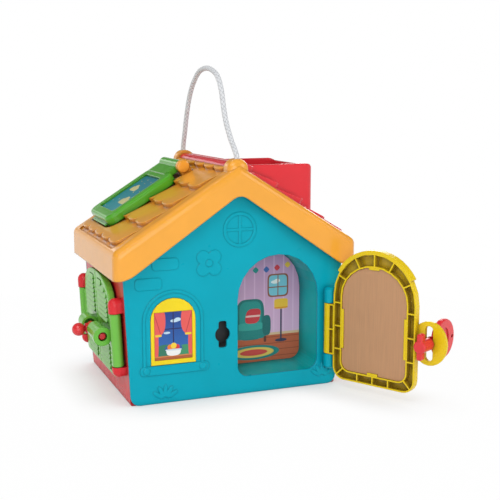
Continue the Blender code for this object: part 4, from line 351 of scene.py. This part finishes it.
def plastic(name):
    """Moulded plastic: faint flow marks, a fine skin, soft edges, and painted shade: a darker colour in its
    hollows.
    """
    colour, painted_shade_colour, roughness, gloss, shade_reach, edge = PLASTICS[name]
    colour = linear(*colour)
    material, tree, shader = new_material(name)
    coords = add_node(tree, "TexCoord").outputs["Object"]
    flow = ranged(tree, noise(tree, coords, *FLOW_NOISE), *NOISE_SPAN, 0.0, 1.0)
    tone = mixed(tree, flow, *(scaled(colour, factor) for factor in FLOW_TONES))
    scuffs = ranged(tree, noise(tree, coords, *SCUFF_NOISE), *SCUFF_SPAN, 0.0, SCUFF_STRENGTH)
    tone = mixed(tree, scuffs, tone, scaled(colour, SCUFF_LIGHTER))
    # Painted shade: where ambient occlusion finds a hollow, the colour is painted toward the darker shade
    # colour.
    shelter = add_node(tree, "AmbientOcclusion", {"Distance": shade_reach}, samples=PAINTED_SHADE_SAMPLES)
    painted_shade = ranged(tree, shelter.outputs["AO"], *PAINTED_SHADE_SPAN, PAINTED_SHADE_STRENGTH, 0.0)
    tree.links.new(mixed(tree, painted_shade, tone, linear(*painted_shade_colour)), shader.inputs["Base Color"])
    ends = (roughness + change for change in SHEEN_CHANGE)
    sheen = ranged(tree, noise(tree, coords, *SHEEN_NOISE), *NOISE_SPAN, *ends)
    tree.links.new(sheen, shader.inputs["Roughness"])
    waves = math_node(tree, "MULTIPLY", noise(tree, coords, *WAVE_NOISE), WAVE_SHARE)
    height = math_node(tree, "ADD", noise(tree, coords, *SKIN_NOISE), waves)
    rounded = add_node(tree, "Bevel", {"Radius": edge}, samples=EDGE_SAMPLES).outputs[0]
    bump = add_node(tree, "Bump", {**SKIN_BUMP, "Height": height, "Normal": rounded})
    tree.links.new(bump.outputs[0], shader.inputs["Normal"])
    shader.inputs["Specular IOR Level"].default_value = gloss
    return material


def board(name, colour):
    """The door's brown board: fine upright fibres and a dull face."""
    material, tree, shader = new_material(name)
    coords = add_node(tree, "TexCoord").outputs["Object"]
    stretched = add_node(tree, "Mapping", {"Vector": coords, "Scale": BOARD_STRETCH}).outputs[0]
    fibres = noise(tree, stretched, *BOARD_FIBRES)
    grain = ranged(tree, fibres, *BOARD_FIBRE_SPAN, 0.0, 1.0)
    tone = mixed(tree, grain, *(scaled(colour, factor) for factor in BOARD_FIBRE_TONES))
    patches = ranged(tree, noise(tree, coords, *BOARD_PATCHES), *BOARD_PATCH_SPAN, 0.0, BOARD_PATCH_STRENGTH)
    tone = mixed(tree, patches, tone, scaled(colour, BOARD_PATCH_LIGHTER))
    tree.links.new(tone, shader.inputs["Base Color"])
    tree.links.new(ranged(tree, fibres, *NOISE_SPAN, *BOARD_ROUGHNESS), shader.inputs["Roughness"])
    bump = add_node(tree, "Bump", {**BOARD_BUMP, "Height": fibres})
    tree.links.new(bump.outputs[0], shader.inputs["Normal"])
    shader.inputs["Specular IOR Level"].default_value = BOARD_SPECULAR
    return material


def steel(name):
    """Drawn steel pin or screw."""
    material, tree, shader = new_material(name)
    coords = add_node(tree, "TexCoord").outputs["Object"]
    streaks = noise(tree, coords, *STEEL_STREAKS)
    tone = mixed(tree, streaks, *STEEL_TONES)
    tree.links.new(tone, shader.inputs["Base Color"])
    tree.links.new(ranged(tree, streaks, *STEEL_SPAN, *STEEL_ROUGHNESS), shader.inputs["Roughness"])
    shader.inputs["Metallic"].default_value = 1.0
    return material


class Print:
    """A picture built up from flat shapes, over a ground that changes colour with height."""

    def __init__(self, tree, across, up, span, ends):
        self.tree = tree
        self.across = across
        self.up = up
        self.tone = mixed(tree, ranged(tree, up, *span, 0.0, 1.0), *(linear(*end) for end in ends))

    def blob(self, centre, radii, colour, power=2.0, lean=0.0):
        """An oval, or with a high power a rounded box, that may lean."""
        tree = self.tree
        x = math_node(tree, "SUBTRACT", self.across, centre[0])
        y = math_node(tree, "SUBTRACT", self.up, centre[1])
        if lean:
            x = math_node(tree, "SUBTRACT", x, math_node(tree, "MULTIPLY", y, lean))
        parts = []
        for offset, radius in zip((x, y), radii):
            share = math_node(tree, "ABSOLUTE", math_node(tree, "DIVIDE", offset, radius))
            parts.append(math_node(tree, "POWER", share, power))
        inside = ranged(tree, math_node(tree, "ADD", *parts), *SHAPE_EDGE, 0.0, 1.0)
        self.tone = mixed(tree, inside, self.tone, linear(*colour))

    def blobs(self, shapes):
        """Shapes one after another."""
        for shape in shapes:
            self.blob(*shape)

    def stripes(self, pitch, edge, colour):
        """Even upright stripes."""
        tree = self.tree
        turn = math_node(tree, "MULTIPLY", self.across, 2 * math.pi / pitch)
        inside = ranged(tree, math_node(tree, "SINE", turn), edge, edge + STRIPE_BLUR, 0.0, 1.0)
        self.tone = mixed(tree, inside, self.tone, linear(*colour))

    def under(self, edge, colour):
        """Everything below a height."""
        inside = ranged(self.tree, self.up, edge + GROUND_BLUR, edge - GROUND_BLUR, 0.0, 1.0)
        self.tone = mixed(self.tree, inside, self.tone, linear(*colour))


def card(name, node, paint):
    """A printed card: paint draws on it in the card's own plane, in millimetres."""
    material, tree, shader = new_material(name)
    coords = add_node(tree, "TexCoord").outputs["Object"]
    x, y, z = add_node(tree, "SeparateXYZ", {0: coords}).outputs
    low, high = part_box(node)
    width, depth, height = (high[axis] - low[axis] for axis in range(3))
    if width > UPRIGHT_RATIO * depth:
        across, start = x, low[0]
        slope = (0.0, 1.0)
    else:
        across, start = math_node(tree, "MULTIPLY", y, -1.0), -high[1]
        slope = (width / math.hypot(width, height), height / math.hypot(width, height))
    along = math_node(tree, "ADD", math_node(tree, "MULTIPLY", x, slope[0] * MILLIMETRES),
                      math_node(tree, "MULTIPLY", z, slope[1] * MILLIMETRES))
    up = math_node(tree, "SUBTRACT", along, (low[0] * slope[0] + low[2] * slope[1]) * MILLIMETRES)
    across = math_node(tree, "MULTIPLY", math_node(tree, "SUBTRACT", across, start), MILLIMETRES)
    paper = noise(tree, coords, *PAPER_NOISE)
    fibres = ranged(tree, paper, *NOISE_SPAN, 0.0, PAPER_STRENGTH)
    tree.links.new(mixed(tree, fibres, paint(tree, across, up), PAPER_TONE), shader.inputs["Base Color"])
    tree.links.new(ranged(tree, paper, *NOISE_SPAN, *PAPER_ROUGHNESS), shader.inputs["Roughness"])
    bump = add_node(tree, "Bump", {**PAPER_BUMP, "Height": paper})
    tree.links.new(bump.outputs[0], shader.inputs["Normal"])
    shader.inputs["Specular IOR Level"].default_value = PAPER_SPECULAR
    return material


def paint_room(tree, across, up):
    """A lilac room with a plank floor, a rug, a chair with a cushion, a lamp, a window and bunting."""
    art = Print(tree, across, up, ROOM_WALL_SPAN, ROOM_WALL)
    art.stripes(*ROOM_STRIPES)
    art.under(*ROOM_SKIRTING)
    art.under(*ROOM_FLOOR)
    art.blobs(ROOM_SHAPES)
    return art.tone


def paint_sky(tree, across, up):
    """An evening sky and hills behind a window's bars, coral curtains and a bowl of fruit."""
    art = Print(tree, across, up, SKY_SPAN, SKY)
    art.blobs(SKY_BACK)
    for edge, colour in SKY_SILL:
        art.under(edge, colour)
    art.blobs(SKY_FRUIT)
    return art.tone


def paint_clouds(tree, across, up):
    """Two pale clouds and small dots on teal."""
    art = Print(tree, across, up, CLOUD_SKY_SPAN, CLOUD_SKY)
    for index in range(DOTS):
        x, y = (corner + index * step % field
                for corner, step, field in zip(DOT_CORNER, DOT_STEPS, DOT_FIELD))
        art.blob((x, y), (DOT_RADIUS, DOT_RADIUS), DOT_TONE)
    for x, y, size in CLOUDS:
        for offset, lift, radius in CLOUD_PUFFS:
            radii = (radius * size, radius * size * PUFF_FLATNESS)
            art.blob((x + offset * size, y + lift * size), radii, CLOUD_TONE)
        radii = [size * radius for radius in CLOUD_BASE]
        art.blob((x, y - CLOUD_BASE_DROP * size), radii, CLOUD_TONE, CLOUD_BASE_POWER)
    return art.tone


def rope_material():
    """Braided pale rope with fine fibres; the grooves between strands are painted darker, as shade."""
    material, tree, shader = new_material("rope_braid")
    coords = add_node(tree, "TexCoord").outputs["Object"]
    groove = add_node(tree, "Attribute", attribute_name="crown").outputs["Fac"]
    fibres = noise(tree, coords, *ROPE_FIBRES)
    # Painted shade: the grooves between strands go toward the darker grey.
    rise = ranged(tree, groove, *ROPE_GROOVE_SHADE_SPAN, 0.0, 1.0)
    tone = mixed(tree, rise, ROPE_GROOVE_SHADE_TONE, ROPE_STRAND_TONE)
    loose = ranged(tree, fibres, *ROPE_FIBRE_SPAN, 0.0, ROPE_FIBRE_STRENGTH)
    tree.links.new(mixed(tree, loose, tone, ROPE_FIBRE_TONE), shader.inputs["Base Color"])
    tree.links.new(ranged(tree, fibres, *NOISE_SPAN, *ROPE_ROUGHNESS), shader.inputs["Roughness"])
    bump = add_node(tree, "Bump", {**ROPE_BUMP, "Height": fibres})
    tree.links.new(bump.outputs[0], shader.inputs["Normal"])
    shader.inputs["Sheen Weight"].default_value = ROPE_SHEEN
    return material


def rope_rings():
    """Evenly spaced points and their directions along the rope's route."""
    route = [Vector((0, y / MILLIMETRES, z / MILLIMETRES)) for y, z in ROPE_ROUTE]
    smooth = [route[0]]
    for index in range(len(route) - 1):
        before = route[max(index - 1, 0)]
        start, end = route[index], route[index + 1]
        after = route[min(index + 2, len(route) - 1)]
        for step in range(1, ROPE_SMOOTH_STEPS + 1):
            t = step / ROPE_SMOOTH_STEPS
            smooth.append(((2 * start) + (end - before) * t
                           + (2 * before - 5 * start + 4 * end - after) * t ** 2
                           + (3 * start - before - 3 * end + after) * t ** 3) / 2)
    walked = [0.0]
    for a, b in zip(smooth, smooth[1:]):
        walked.append(walked[-1] + (b - a).length)
    count = round(walked[-1] / ROPE_RING_STEP)
    rings = []
    at = 0
    for ring in range(count + 1):
        goal = walked[-1] * ring / count
        while at < len(smooth) - 2 and walked[at + 1] < goal:
            at += 1
        span = walked[at + 1] - walked[at]
        share = (goal - walked[at]) / span
        rings.append((smooth[at].lerp(smooth[at + 1], share), goal))
    return rings, walked[-1]


def make_rope():
    """The carrying rope as a tube with the braid's crossing strands raised on it."""
    rings, length = rope_rings()
    work = bmesh.new()
    crown = work.verts.layers.float.new("crown")
    loops = []
    sideways = Vector((1, 0, 0))
    for index, (point, along) in enumerate(rings):
        ahead = rings[min(index + 1, len(rings) - 1)][0]
        behind = rings[max(index - 1, 0)][0]
        outward = sideways.cross((ahead - behind).normalized())
        loop = []
        for side in range(ROPE_SIDES):
            angle = 2 * math.pi * side / ROPE_SIDES
            turn = ROPE_STRANDS * side / ROPE_SIDES / 2
            lay = along / ROPE_DIAMOND
            rise = abs(math.sin(math.pi * (turn + lay)) * math.sin(math.pi * (turn - lay))) ** 0.5
            radius = ROPE_DIAMETER / 2 - ROPE_RELIEF * (1 - rise)
            vert = work.verts.new(point + (sideways * math.cos(angle) + outward * math.sin(angle)) * radius)
            vert[crown] = rise
            loop.append(vert)
        loops.append(loop)
    for lower, upper in zip(loops, loops[1:]):
        for side in range(ROPE_SIDES):
            far = (side + 1) % ROPE_SIDES
            work.faces.new((lower[side], lower[far], upper[far], upper[side])).smooth = True
    work.faces.new(loops[0])
    work.faces.new(loops[-1])
    bmesh.ops.recalc_face_normals(work, faces=work.faces)
    mesh = bpy.data.meshes.new("rope")
    work.to_mesh(mesh)
    work.free()
    rope = bpy.data.objects.new("rope", mesh)
    scene.collection.objects.link(rope)
    mesh.materials.append(rope_material())
    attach(rope, "house")
    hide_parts("rope_handle")


def paint_nodes():
    """Gives each CAD node its material; a node without one of its own is a steel pin or screw."""
    plastics = {name: plastic(name) for name in PLASTICS}
    finishes = {node: plastics[name] for node, name in MOULDED.items()}
    finishes["door_board"] = board("brown_board", linear(*BOARD_COLOUR))
    finishes["alcove_picture"] = card("room_card", "alcove_picture", paint_room)
    finishes["window_picture"] = card("sky_card", "window_picture", paint_sky)
    finishes["skylight_picture"] = card("cloud_card", "skylight_picture", paint_clouds)
    metal = steel("drawn_steel")
    for name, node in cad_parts.items():
        finish = finishes.get(name, metal)
        for place in node.material_slots:
            place.material = finish
        if not node.material_slots:
            node.data.materials.append(finish)


def plain_rays(tree):
    """1 for the rays that see the surround itself, or its mirror image."""
    path = add_node(tree, "LightPath").outputs
    seen = math_node(tree, "MAXIMUM", path["Is Camera Ray"], path["Is Glossy Ray"])
    return math_node(tree, "MAXIMUM", seen, path["Is Transmission Ray"])


def make_floor():
    """A white floor that keeps the house's soft shadow."""
    mesh = bpy.data.meshes.new("floor")
    corners = [(x * FLOOR_REACH, y * FLOOR_REACH, 0) for x, y in ((-1, -1), (1, -1), (1, 1), (-1, 1))]
    mesh.from_pydata(corners, [], [(0, 1, 2, 3)])
    floor = bpy.data.objects.new("floor", mesh)
    scene.collection.objects.link(floor)
    material, tree, shader = new_material("floor_paint")
    coords = add_node(tree, "TexCoord").outputs["Object"]
    away = add_node(tree, "VectorMath", {0: coords}, operation="LENGTH").outputs["Value"]
    shelter = add_node(tree, "AmbientOcclusion", {"Distance": SHADOW_REACH}, samples=SHADOW_SAMPLES)
    white = math_node(tree, "MAXIMUM", ranged(tree, shelter.outputs["AO"], *SHADOW_SPAN, *SHADOW_WHITES),
                      ranged(tree, away, *FAR_SPAN, 0.0, 1.0))
    shader.inputs["Base Color"].default_value = FLOOR_TONE
    shader.inputs["Roughness"].default_value = FLOOR_ROUGHNESS
    shader.inputs["Specular IOR Level"].default_value = 0.0
    glow = add_node(tree, "Emission", {"Color": WHITE, "Strength": 1.0})
    blend = add_node(tree, "MixShader", {0: math_node(tree, "MULTIPLY", plain_rays(tree), white),
                                         1: shader.outputs[0], 2: glow.outputs[0]})
    tree.links.new(blend.outputs[0], tree.nodes["Material Output"].inputs["Surface"])
    mesh.materials.append(material)


def make_light():
    """A white surround, dark overhead in reflections, and soft lamps."""
    world = bpy.data.worlds.new("surround")
    scene.world = world
    world.use_nodes = True
    tree = world.node_tree
    back = tree.nodes["Background"]
    back.inputs["Color"].default_value = WHITE
    way = add_node(tree, "TexCoord").outputs["Generated"]
    height = add_node(tree, "SeparateXYZ", {0: way}).outputs[2]
    camera = add_node(tree, "LightPath").outputs["Is Camera Ray"]
    seen = math_node(tree, "MAXIMUM", camera, ranged(tree, height, *CEILING_SPAN, 1.0, CEILING))
    tree.links.new(ranged(tree, plain_rays(tree), 0.0, 1.0, WORLD_LIGHT, seen), back.inputs["Strength"])
    for name, (place, size, power) in LAMPS.items():
        lamp = bpy.data.objects.new(name, bpy.data.lights.new(name, "AREA"))
        lamp.data.shape = "RECTANGLE"
        lamp.data.size, lamp.data.size_y = size
        lamp.data.energy = power
        lamp.location = place
        lamp.visible_camera = False
        lamp.rotation_euler = (LAMP_TARGET - lamp.location).to_track_quat("-Z", "Y").to_euler()
        scene.collection.objects.link(lamp)
    scene.view_settings.view_transform = "Standard"


make_camera()
make_rope()
paint_nodes()
make_floor()
make_light()
